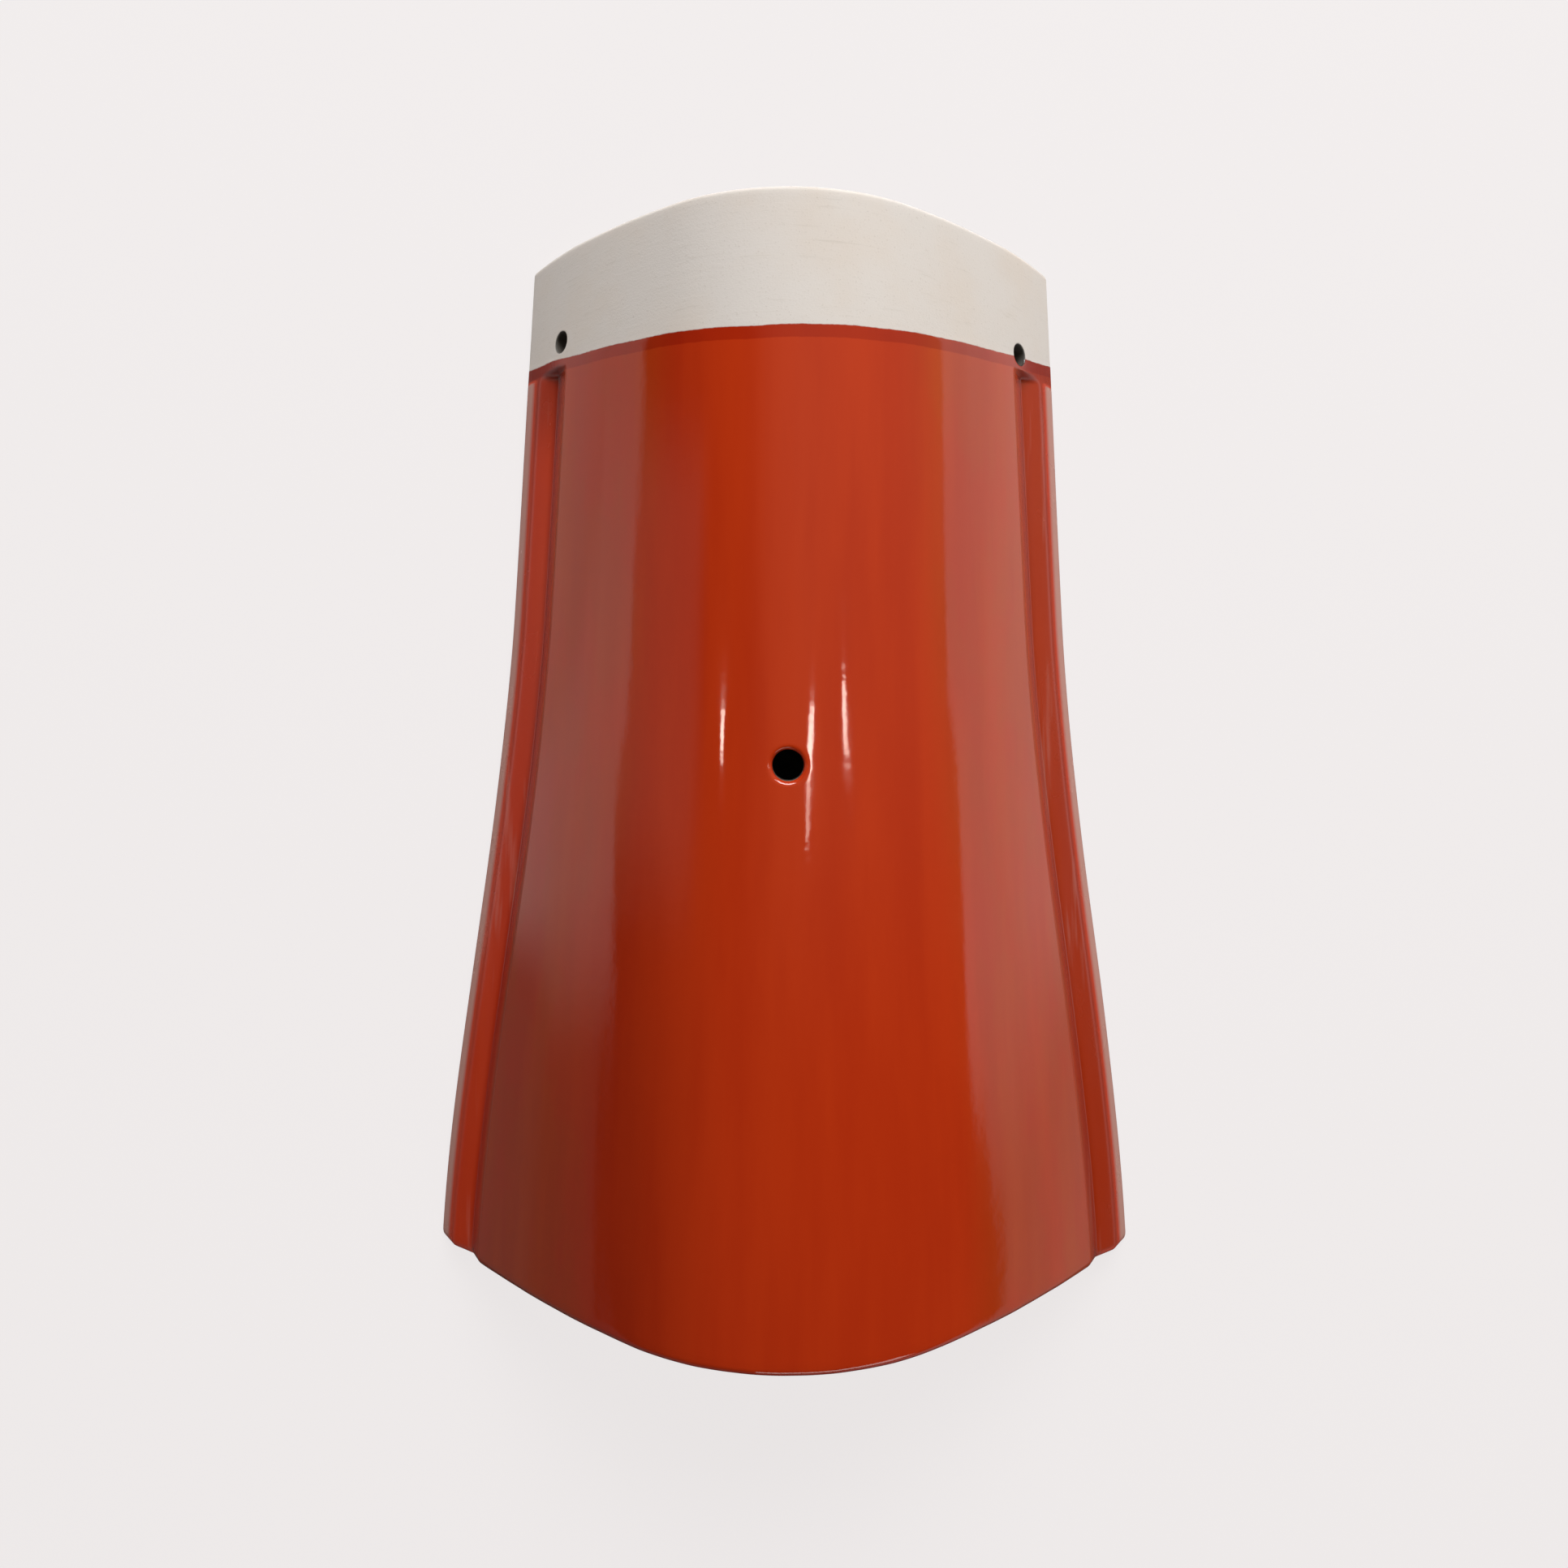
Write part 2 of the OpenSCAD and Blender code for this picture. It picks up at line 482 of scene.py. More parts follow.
@dataclass(frozen=True)
class GlazeCoat:
    """How the glaze lies on the upper side: its edge at the lap band and its fine waves."""

    crest_edge: float = 0.0453
    side_rise: float = 0.0088
    side_reach: float = 0.099
    side_limit: float = 1.1
    skew: float = 0.0010
    skew_right: Span = (-0.020, 0.050)
    skew_left: Span = (-0.055, -0.085)
    edge_wander: float = 0.00012
    edge_waves: tuple[Triple, ...] = ((1.0, 0.0071, 0.6), (0.7, 0.0033, 1.9))
    fray_gain: float = 2.5
    fray_x: Span = (0.075, 0.095)
    thickness: float = 0.00016
    lip: float = 0.0017
    wave: float = 0.000045
    wave_pitch: float = 0.0205
    fine_wave: float = 0.000014
    fine_pitch: float = 0.0088
    drift_waves: tuple[Triple, ...] = ((0.9, 0.052, 0.0), (0.5, 0.021, 1.0))
    swell: float = 0.00005
    swell_pitch: float = 0.135
    swell_slant: float = 0.03

    def line(self, x: np.ndarray, d: np.ndarray) -> np.ndarray:
        """Distance below the edge of the glaze, negative on the bare lap band.

        Args:
            x: Distances from the middle.
            d: Distances from the head edge.

        Returns:
            Array of distances.
        """
        rise = self.side_rise * np.minimum(np.abs(x) / self.side_reach, self.side_limit) ** 2
        tilt = self.skew * (ramp(x, self.skew_right) - ramp(x, self.skew_left))
        frayed = 1.0 + self.fray_gain * ramp(np.abs(x), self.fray_x)
        wander = self.edge_wander * ripple(x, self.edge_waves) * frayed
        return d - self.crest_edge + rise + tilt + wander

    def relief(self, x: np.ndarray, d: np.ndarray) -> np.ndarray:
        """Depth of the finished surface below the nominal one.

        Args:
            x: Distances from the middle.
            d: Distances from the head edge.

        Returns:
            Array of depths, never negative.
        """
        coat = ease(self.line(x, d) / self.lip + 0.5)
        drift = ripple(d, self.drift_waves)
        waves = self.wave * (1.0 + np.sin(x / self.wave_pitch * math.tau + drift))
        waves = waves + self.fine_wave * (1.0 + np.sin(x / self.fine_pitch * math.tau - drift))
        swell = self.swell * (1.0 + np.sin(d / self.swell_pitch * math.tau + x / self.swell_slant))
        return self.thickness * (1.0 - coat) + coat * (waves + swell)


@dataclass
class Skin:
    """Collects quads with shared corners and their values at each corner."""

    points: list[Triple] = field(default_factory=list)
    values: list[Triple] = field(default_factory=list)
    quads: list[tuple[int, ...]] = field(default_factory=list)
    zones: list[int] = field(default_factory=list)
    places: dict[tuple[int, int, int], int] = field(default_factory=dict)
    grain: float = 2.0e-6
    crease: float = 48.0

    def corner(self, point: np.ndarray, values: Triple) -> int:
        """Index of the corner at a point, made the first time the point comes up.

        Args:
            point: Position of the corner.
            values: Its glaze line, painted hole shade and arris values, kept from the first time.

        Returns:
            Index of the corner.
        """
        place = tuple(int(round(float(c) / self.grain)) for c in point)
        if place not in self.places:
            self.places[place] = len(self.points)
            self.points.append(tuple(float(c) for c in point))
            self.values.append(values)
        return self.places[place]

    def add_grid(self, grid: np.ndarray, values: np.ndarray, zone: Zone, closed: bool = False,
                 gaps: list[tuple[slice, slice]] | None = None) -> None:
        """Add the quads of a grid of points.

        Args:
            grid: Points as rows, columns and coordinates.
            values: Glaze line, painted hole shade and arris at each point.
            zone: Finish of the faces.
            closed: Whether the last column joins the first one.
            gaps: Blocks of quads that are left out, as slices of rows and columns.
        """
        rows, columns = grid.shape[:2]
        index = np.array([
            [self.corner(grid[j, i], tuple(values[j, i])) for i in range(columns)]
            for j in range(rows)
        ])
        keep = np.ones((rows - 1, columns if closed else columns - 1), dtype=bool)
        for rows_out, columns_out in gaps or []:
            keep[rows_out, columns_out] = False
        for j, i in np.argwhere(keep):
            k = (i + 1) % columns
            quad = (index[j, i], index[j, k], index[j + 1, k], index[j + 1, i])
            if len(set(quad)) >= 3:
                self.quads.append(tuple(int(v) for v in dict.fromkeys(quad)))
                self.zones.append(zone.value)

    def to_object(self, name: str) -> bpy.types.Object:
        """Make a Blender object of the skin.

        Args:
            name: Name of the object.

        Returns:
            The object, linked to the scene, with outward normals and smooth faces.
        """
        mesh = bpy.data.meshes.new(name)
        mesh.from_pydata(self.points, [], self.quads)
        mesh.polygons.foreach_set("material_index", self.zones)
        for column, label in enumerate((GLAZE_LINE, HOLE_SHADE, ARRIS)):
            layer = mesh.attributes.new(label, "FLOAT", "POINT")
            layer.data.foreach_set("value", [v[column] for v in self.values])
        shell = bmesh.new()
        shell.from_mesh(mesh)
        bmesh.ops.recalc_face_normals(shell, faces=shell.faces)
        open_edges = sum(1 for e in shell.edges if not e.is_manifold)
        shell.to_mesh(mesh)
        shell.free()
        LOG.info("%s: %d faces, %d open edges", name, len(mesh.polygons), open_edges)
        mesh.shade_smooth()
        mesh.set_sharp_from_angle(angle=math.radians(self.crease))
        piece = bpy.data.objects.new(name, mesh)
        bpy.context.scene.collection.objects.link(piece)
        return piece


@dataclass(frozen=True)
class FixingHole:
    """Round hole drilled square to the surface, with softened rims."""

    side: Side
    from_head: float
    radius: float
    rim: float
    under_rim: float
    across: float
    lengthwise: float
    edge_distance: float = 0.016
    ring_steps: int = 6
    rim_steps: int = 5
    bore_steps: int = 6

    def centre_x(self, form: BarrelForm) -> float:
        """Distance of the hole's mouth from the middle of the tile."""
        return self.side.value * (form.half_width(self.from_head) - self.edge_distance)

    def axis(self, form: BarrelForm) -> np.ndarray:
        """Outward direction of the hole.

        Args:
            form: Sizes of the tile.

        Returns:
            Unit vector as x, y and z.
        """
        if self.side is Side.CREST:
            return np.array((0.0, 0.0, 1.0))
        angle = float(form.arch(self.from_head).flank_angle(abs(self.centre_x(form))))
        return np.array((self.side.value * math.sin(angle), 0.0, math.cos(angle)))

    def land(self, form: BarrelForm, point: np.ndarray, inset: float) -> np.ndarray:
        """Drop a point along the hole's axis onto the arch.

        Args:
            form: Sizes of the tile.
            point: Point near the hole.
            inset: Distance of the target surface inside the outer one.

        Returns:
            The point on that surface.
        """
        arch = form.arch(form.distance(float(point[1])))
        middle = np.array((0.0, arch.crown_centre_z))
        radius = arch.crown_radius - inset
        if self.side is not Side.CREST:
            middle = np.array((self.side.value * arch.flank_centre_x, arch.flank_centre_z))
            radius = arch.flank_radius - inset
        axis = self.axis(form)
        flat = np.array((point[0], point[2])) - middle
        way = np.array((axis[0], axis[2]))
        reach = float(flat @ way)
        travel = -reach + math.sqrt(reach**2 - float(flat @ flat) + radius**2)
        return point + axis * travel


@dataclass
class VergeEndTile:
    """The tile as one closed mesh: upper side, underside, feet, end faces and fixing holes."""

    form: BarrelForm = field(default_factory=BarrelForm)
    coat: GlazeCoat = field(default_factory=GlazeCoat)
    holes: tuple[FixingHole, ...] = (
        FixingHole(Side.CREST, from_head=0.185, radius=0.005, rim=0.0016, under_rim=0.0006,
                   across=0.0108, lengthwise=0.0100),
        FixingHole(Side.LEFT, from_head=0.0335, radius=0.00375, rim=0.0006, under_rim=0.0005,
                   across=0.0050, lengthwise=0.0062),
        FixingHole(Side.RIGHT, from_head=0.037, radius=0.00375, rim=0.0006, under_rim=0.0005,
                   across=0.0050, lengthwise=0.0056),
    )
    end_steps: int = 7
    wall_steps: int = 5
    lap_pitch: float = 0.0014
    lip_pitch: float = 0.0008
    lip_before: float = 0.002
    lip_after: float = 0.001
    barrel_pitch: float = 0.0026
    bare_line: float = -0.05
    tail_line: float = 0.3
    tail_wear: float = 0.55
    # Painted shade inside the holes, and where it starts down the rims of the nail holes.
    bore_shade: float = 1.0
    shade_onset: Span = (0.0, 0.5)

    def stations(self) -> np.ndarray:
        """Stations along the tile, head first.

        Returns:
            Array of distance from the head, inset of the upper side, and relief of the underside.
        """
        form = self.form
        turn = np.linspace(math.pi / 2.0, 0.0, self.end_steps + 1)
        swing = np.stack((1.0 - np.sin(turn), 1.0 - np.cos(turn)), axis=1)
        head = np.stack((
            swing[:, 0] * form.head_round,
            swing[:, 1] * form.head_round,
            swing[:, 1] * form.mouth_round,
        ), axis=1)
        tail = np.stack((
            form.length - swing[::-1, 0] * form.tail_round,
            swing[::-1, 1] * form.tail_round,
            swing[::-1, 1] * form.mouth_round,
        ), axis=1)
        lip_from = self.coat.crest_edge - self.coat.side_rise - self.coat.skew - self.lip_before
        lip_to = form.rebate_start + form.rebate_runout + self.lip_after
        stops = (
            (form.head_round, lip_from, self.lap_pitch),
            (lip_from, lip_to, self.lip_pitch),
            (lip_to, form.length - form.tail_round, self.barrel_pitch),
        )
        plain = []
        for start, end, pitch in stops:
            count = math.ceil((end - start) / pitch)
            plain.append(np.linspace(start, end, count + 1)[1:])
        middle = np.concatenate(plain)[:-1]
        middle = np.stack((middle, np.zeros_like(middle), np.zeros_like(middle)), axis=1)
        return np.concatenate((head, middle, tail))

    def upper_values(self, x: np.ndarray, d: np.ndarray) -> np.ndarray:
        """Values at points of the upper side, away from the arrises.

        Args:
            x: Distances from the middle.
            d: Distances from the head edge.

        Returns:
            Array whose last axis is glaze line, painted hole shade and arris.
        """
        line = self.coat.line(x, d)
        return np.stack((line, np.zeros_like(line), np.zeros_like(line)), axis=-1)

    def arris_profile(self) -> np.ndarray:
        """How far each point across the upper side lies on an arris, or in a hollow below 0."""
        form = self.form
        half = np.zeros(form.half_count())
        at = form.upper_counts()[0]
        for steps, level in form.rebate_runs():
            half[at:at + steps] = level
            at += steps
        half[1:-1] = (half[:-2] + half[1:-1] + half[2:]) / 3.0
        return np.concatenate((half[:0:-1], half))

    def upper_grid(self, stations: np.ndarray) -> tuple[np.ndarray, np.ndarray]:
        """Points and values of the whole upper side.

        Args:
            stations: Rows as made by the stations method.

        Returns:
            Grid of points, and grid of values.
        """
        form = self.form
        arris = self.arris_profile()
        half = form.half_count() - 1
        rows = []
        values = []
        for d, inset, _ in stations:
            line = mirrored(form.upper_half(d, inset))
            normal = section_normals(line[half:])
            normal[0] = (0.0, 1.0)
            normal[sum(form.upper_counts()):] = (1.0, 0.0)
            normal = mirrored(normal)
            far = np.full(len(line), d)
            depth = self.coat.relief(line[:, 0], far)
            line = line - normal * depth[:, None]
            right = form.unfolded(line[half:])
            left = form.unfolded(line[half::-1] * MIRRORED_X)
            line = np.concatenate((left[:0:-1] * MIRRORED_X, right))
            rows.append(form.placed(d, line))
            value = self.upper_values(line[:, 0], far)
            end = ease((d - (form.length - form.tail_round)) / form.tail_round)
            value[:, 2] = arris * form.rebate_depth(d) * (1.0 - end) + self.tail_wear * end
            values.append(value)
        return np.array(rows), np.array(values)

    def under_grid(self, stations: np.ndarray) -> np.ndarray:
        """Points of the whole underside.

        Args:
            stations: Rows as made by the stations method.

        Returns:
            Grid of points.
        """
        rows = []
        for d, _, relief in stations:
            rows.append(self.form.placed(d, mirrored(self.form.under_half(d, relief))))
        return np.array(rows)

    def plain_values(self, shape: tuple[int, ...], line: float, hole_shade: float = 0.0) -> np.ndarray:
        """Values that are the same at every point of a grid."""
        return np.broadcast_to(np.array((line, hole_shade, 0.0)), (*shape, 3))

    def across_wall(self, upper: np.ndarray, under: np.ndarray) -> np.ndarray:
        """Grid that spans the wall between two lines of points.

        Args:
            upper: Points of the upper line.
            under: Points of the lower line, as many.

        Returns:
            Grid of points, one column for each step through the wall.
        """
        t = np.linspace(0.0, 1.0, self.wall_steps + 1)[None, :, None]
        return upper[:, None, :] * (1.0 - t) + under[:, None, :] * t

    def block(self, grid: np.ndarray, hole: FixingHole) -> tuple[slice, slice]:
        """Block of quads around a hole on the upper side.

        Args:
            grid: Points of the upper side.
            hole: The hole.

        Returns:
            Slices of rows and columns of quads.
        """
        y = self.form.along(hole.from_head)
        rows = np.flatnonzero(np.abs(grid[:, 0, 1] - y) <= hole.lengthwise)
        middle = (rows[0] + rows[-1]) // 2
        x = hole.centre_x(self.form)
        columns = np.flatnonzero(np.abs(grid[middle, :, 0] - x) <= hole.across)
        return slice(int(rows[0]), int(rows[-1])), slice(int(columns[0]), int(columns[-1]))

    def block_under(self, grid: np.ndarray, hole: FixingHole, upper: tuple[slice, slice],
                    ) -> tuple[slice, slice]:
        """Block of as many quads around a hole on the underside.

        Args:
            grid: Points of the underside.
            hole: The hole.
            upper: Block of the upper side.

        Returns:
            Slices of rows and columns of quads.
        """
        rows, columns = upper
        count = columns.stop - columns.start
        mouth = self.mouth(hole, self.form.wall)
        middle = (rows.start + rows.stop) // 2
        nearest = int(np.argmin(np.linalg.norm(grid[middle][:, (0, 2)] - mouth[[0, 2]], axis=1)))
        start = nearest - count // 2
        return rows, slice(start, start + count)

    def mouth(self, hole: FixingHole, inset: float) -> np.ndarray:
        """Centre of a hole's mouth on the surface at an inset from the outer one."""
        x = hole.centre_x(self.form)
        height = self.form.crown_height(hole.from_head)
        if hole.side is not Side.CREST:
            height = float(self.form.arch(hole.from_head).flank_height(abs(x)))
        start = np.array((x, self.form.along(hole.from_head), height))
        return hole.land(self.form, start, inset)

    def border(self, grid: np.ndarray, block: tuple[slice, slice]) -> np.ndarray:
        """Points around a block of quads, in order.

        Args:
            grid: Grid that the block is cut from.
            block: Slices of rows and columns of quads.

        Returns:
            Array of points, each once.
        """
        rows, columns = block
        j0, j1, i0, i1 = rows.start, rows.stop, columns.start, columns.stop
        return np.concatenate((
            grid[j0, i0:i1],
            grid[j0:j1, i1],
            grid[j1, i1:i0:-1],
            grid[j1:j0:-1, i0],
        ))

    def surface_point(self, hole: FixingHole, point: np.ndarray, upper: bool) -> np.ndarray:
        """Point of the finished surface that lies along a hole's axis from another point."""
        if not upper:
            return hole.land(self.form, point, self.form.wall)
        landed = hole.land(self.form, point, 0.0)
        far = self.form.distance(landed[1])
        depth = self.coat.relief(np.array((landed[0],)), np.array((far,)))[0]
        return landed - hole.axis(self.form) * depth

    def collar(self, hole: FixingHole, border: np.ndarray, turns: np.ndarray, reach: float,
               upper: bool) -> np.ndarray:
        """Rings of points from a block's border to the round rim of a hole.

        Args:
            hole: The hole.
            border: Points around the block.
            turns: Angle around the axis for each border point, in radians.
            reach: Radius of the last ring.
            upper: Whether the collar lies on the upper side.

        Returns:
            Grid of points, one row for each ring.
        """
        centre = self.mouth(hole, 0.0 if upper else self.form.wall)
        right, ahead = self.plane(hole)
        rings = [border]
        flat = np.stack(((border - centre) @ right, (border - centre) @ ahead), axis=1)
        goal = np.stack((np.cos(turns), np.sin(turns)), axis=1) * reach
        for step in range(1, hole.ring_steps + 1):
            t = step / hole.ring_steps
            spots = flat * (1.0 - t) + goal * t
            rings.append(np.array([
                self.surface_point(hole, centre + right * u + ahead * v, upper) for u, v in spots
            ]))
        return np.array(rings)

    def plane(self, hole: FixingHole) -> tuple[np.ndarray, np.ndarray]:
        """Two unit vectors across a hole's axis, the second along +Y."""
        axis = hole.axis(self.form)
        return np.array((axis[2], 0.0, -axis[0])), np.array((0.0, 1.0, 0.0))

    def throat(self, hole: FixingHole, turns: np.ndarray, upper: bool) -> np.ndarray:
        """Rings that turn from the surface into the bore.

        Args:
            hole: The hole.
            turns: Angle around the axis for each point of a ring, in radians.
            upper: Whether the rim is the one on the upper side.

        Returns:
            Grid of points, one row for each ring, the surface first.
        """
        rim = hole.rim if upper else hole.under_rim
        inward = -hole.axis(self.form) if upper else hole.axis(self.form)
        centre = self.mouth(hole, 0.0 if upper else self.form.wall)
        right, ahead = self.plane(hole)
        rings = []
        for turn in np.linspace(0.0, math.pi / 2.0, hole.rim_steps + 1):
            reach = hole.radius + rim * (1.0 - math.sin(turn))
            sink = rim * (1.0 - math.cos(turn))
            rings.append(np.array([
                self.surface_point(
                    hole, centre + (right * math.cos(a) + ahead * math.sin(a)) * reach, upper,
                ) + inward * sink
                for a in turns
            ]))
        return np.array(rings)

    def drill(self, skin: Skin, hole: FixingHole, top_border: np.ndarray, low_border: np.ndarray,
              ) -> None:
        """Add the collars, rims and bore of a hole.

        Args:
            skin: Mesh being built.
            hole: The hole.
            top_border: Points around the block that the upper side leaves out.
            low_border: Points around the block that the underside leaves out.
        """
        centre = self.mouth(hole, 0.0)
        right, ahead = self.plane(hole)
        turns = np.arctan2((top_border - centre) @ ahead, (top_border - centre) @ right)
        collar = self.collar(hole, top_border, turns, hole.radius + hole.rim, True)
        far = self.form.distance(collar[..., 1])
        skin.add_grid(collar, self.upper_values(collar[..., 0], far), Zone.GLAZED_FACE, closed=True)
        low = self.collar(hole, low_border, turns, hole.radius + hole.under_rim, False)
        skin.add_grid(low, self.plain_values(low.shape[:2], self.bare_line), Zone.BARE_CLAY, closed=True)
        throat = self.throat(hole, turns, True)
        far = self.form.distance(throat[..., 1])
        values = self.upper_values(throat[..., 0], far)
        depth = np.linspace(0.0, 1.0, len(throat))
        # Painted shade: the rims of the nail holes darken towards the bore.
        rim_shade = 0.0 if hole.side is Side.CREST else self.bore_shade
        values[..., 1] = rim_shade * ramp(depth, self.shade_onset)[:, None]
        skin.add_grid(throat, values, Zone.GLAZED_FACE, closed=True)
        exit_rings = self.throat(hole, turns, False)
        t = np.linspace(0.0, 1.0, hole.bore_steps + 1)[:, None, None]
        bore = throat[-1][None] * (1.0 - t) + exit_rings[-1][None] * t
        # Painted shade: every bore is tinted dark.
        for grid in (exit_rings, bore):
            shaded_bore = self.plain_values(grid.shape[:2], self.bare_line, self.bore_shade)
            skin.add_grid(grid, shaded_bore, Zone.BARE_CLAY, closed=True)

    def build(self) -> bpy.types.Object:
        """Build the tile's mesh.

        Returns:
            The tile as an object that stands for the CAD node and moves with its body.
        """
        stations = self.stations()
        upper, upper_values = self.upper_grid(stations)
        under = self.under_grid(stations)
        skin = Skin()
        above = [self.block(upper, hole) for hole in self.holes]
        below = [self.block_under(under, hole, cut) for hole, cut in zip(self.holes, above)]
        bare = self.plain_values(under.shape[:2], self.bare_line)
        skin.add_grid(upper, upper_values, Zone.GLAZED_FACE, gaps=above)
        skin.add_grid(under, bare, Zone.BARE_CLAY, gaps=below)
        for hole, cut, exit_cut in zip(self.holes, above, below):
            self.drill(skin, hole, self.border(upper, cut), self.border(under, exit_cut))
            LOG.info("hole %s", hole.side.name.lower())
        ends = ((0, Zone.BARE_CLAY, self.bare_line), (-1, Zone.GLAZED_FACE, self.tail_line))
        for end, zone, line in ends:
            face = self.across_wall(upper[end], under[end])
            skin.add_grid(face, self.plain_values(face.shape[:2], line), zone)
        for foot in (0, -1):
            strip = self.across_wall(upper[:, foot], under[:, foot])
            skin.add_grid(strip, self.plain_values(strip.shape[:2], self.bare_line), Zone.BARE_CLAY)
        return skin.to_object("tile")


@dataclass
class NodeSheet:
    """Short hand for adding and joining shader nodes."""

    tree: bpy.types.NodeTree

    def add(self, kind: str, **settings: object) -> bpy.types.Node:
        """Add a node.

        Args:
            kind: Type name of the node.
            **settings: Properties to set on it.

        Returns:
            The node.
        """
        node = self.tree.nodes.new(kind)
        for name, value in settings.items():
            setattr(node, name, value)
        return node

    def feed(self, socket: Socket, source: object) -> None:
        """Join a socket to another socket, or set it to a plain value."""
        if isinstance(source, Socket):
            self.tree.links.new(source, socket)
        else:
            socket.default_value = source

    def sum(self, operation: str, *terms: object) -> Socket:
        """Result of a math node.

        Args:
            operation: Name of the operation.
            *terms: Sockets or numbers.

        Returns:
            The output socket.
        """
        node = self.add("ShaderNodeMath", operation=operation)
        for socket, term in zip(node.inputs, terms):
            self.feed(socket, term)
        return node.outputs[0]

    def remap(self, value: object, low: float, high: float, to_low: float = 0.0, to_high: float = 1.0,
              ) -> Socket:
        """Value mapped smoothly from one range onto another.

        Args:
            value: Socket or number to map.
            low: Value that gives to_low.
            high: Value that gives to_high.
            to_low: Start of the result.
            to_high: End of the result.

        Returns:
            The output socket.
        """
        node = self.add("ShaderNodeMapRange", interpolation_type="SMOOTHSTEP")
        for name, source in zip(("Value", "From Min", "From Max", "To Min", "To Max"),
                                (value, low, high, to_low, to_high)):
            self.feed(node.inputs[name], source)
        return node.outputs["Result"]

    def blend(self, factor: object, a: object, b: object, mode: str = "MIX") -> Socket:
        """Colour blended from a to b.

        Args:
            factor: Share of b, as a socket or number.
            a: First colour.
            b: Second colour.
            mode: Blend type.

        Returns:
            The output socket.
        """
        node = self.add("ShaderNodeMix", data_type="RGBA", blend_type=mode)
        self.feed(node.inputs[0], factor)
        self.feed(node.inputs[6], a)
        self.feed(node.inputs[7], b)
        return node.outputs[2]

    def mix(self, factor: object, a: object, b: object) -> Socket:
        """Number mixed from a to b.

        Args:
            factor: Share of b, as a socket or number.
            a: First number.
            b: Second number.

        Returns:
            The output socket.
        """
        node = self.add("ShaderNodeMix", data_type="FLOAT")
        for at, source in ((0, factor), (2, a), (3, b)):
            self.feed(node.inputs[at], source)
        return node.outputs[0]

    def product(self, result: object, *others: object) -> Socket:
        """Product of sockets and numbers."""
        for other in others:
            result = self.sum("MULTIPLY", result, other)
        return result

    def axes(self, place: Socket) -> tuple[Socket, ...]:
        """Coordinates taken apart into x, y and z."""
        node = self.add("ShaderNodeSeparateXYZ")
        self.feed(node.inputs[0], place)
        return tuple(node.outputs)

    def bump(self, strength: float, depth: float, height: Socket) -> Socket:
        """Normal of a surface with fine relief.

        Args:
            strength: Strength of the relief.
            depth: Distance that a height of 1 stands for.
            height: Height of the relief.

        Returns:
            The output socket.
        """
        node = self.add("ShaderNodeBump")
        for name, source in (("Strength", strength), ("Distance", depth), ("Height", height)):
            self.feed(node.inputs[name], source)
        return node.outputs["Normal"]

    def group(self, tree: bpy.types.NodeTree, **inputs: object) -> bpy.types.NodeOutputs:
        """Outputs of a node group.

        Args:
            tree: The group.
            **inputs: Sockets or plain values for its inputs.

        Returns:
            The output sockets by name.
        """
        node = self.add("ShaderNodeGroup", node_tree=tree)
        for name, source in inputs.items():
            self.feed(node.inputs[name], source)
        return node.outputs

    def noise(self, place: Socket, scale: float, detail: float = 3.0, roughness: float = 0.55,
              stretch: Triple = (1.0, 1.0, 1.0)) -> Socket:
        """Value of a noise texture.

        Args:
            place: Coordinates.
            scale: Waves in a metre.
            detail: Octaves.
            roughness: Strength of the finer octaves.
            stretch: Factor on each coordinate.

        Returns:
            The output socket.
        """
        scaled = self.add("ShaderNodeVectorMath", operation="MULTIPLY")
        self.feed(scaled.inputs[0], place)
        scaled.inputs[1].default_value = stretch
        node = self.add("ShaderNodeTexNoise", noise_dimensions="3D")
        self.feed(node.inputs["Vector"], scaled.outputs[0])
        node.inputs["Scale"].default_value = scale
        node.inputs["Detail"].default_value = detail
        node.inputs["Roughness"].default_value = roughness
        return node.outputs["Fac"]

    def attribute(self, name: str) -> Socket:
        """Value of a mesh attribute."""
        return self.add("ShaderNodeAttribute", attribute_name=name).outputs["Fac"]

    def place(self) -> Socket:
        """Coordinates on the object."""
        return self.add("ShaderNodeTexCoord").outputs["Object"]


def new_group(name: str, inputs: tuple[tuple[str, str], ...], outputs: tuple[tuple[str, str], ...],
              ) -> tuple[bpy.types.NodeTree, NodeSheet, bpy.types.Node, bpy.types.Node]:
    """Make an empty shader node group with named sockets.

    Args:
        name: Name of the group.
        inputs: Names and types of the inputs.
        outputs: Names and types of the outputs.

    Returns:
        The group, its sheet, its input node and its output node.
    """
    tree = bpy.data.node_groups.new(name, "ShaderNodeTree")
    for label, kind in inputs:
        tree.interface.new_socket(name=label, in_out="INPUT", socket_type=kind)
    for label, kind in outputs:
        tree.interface.new_socket(name=label, in_out="OUTPUT", socket_type=kind)
    sheet = NodeSheet(tree)
    return tree, sheet, sheet.add("NodeGroupInput"), sheet.add("NodeGroupOutput")


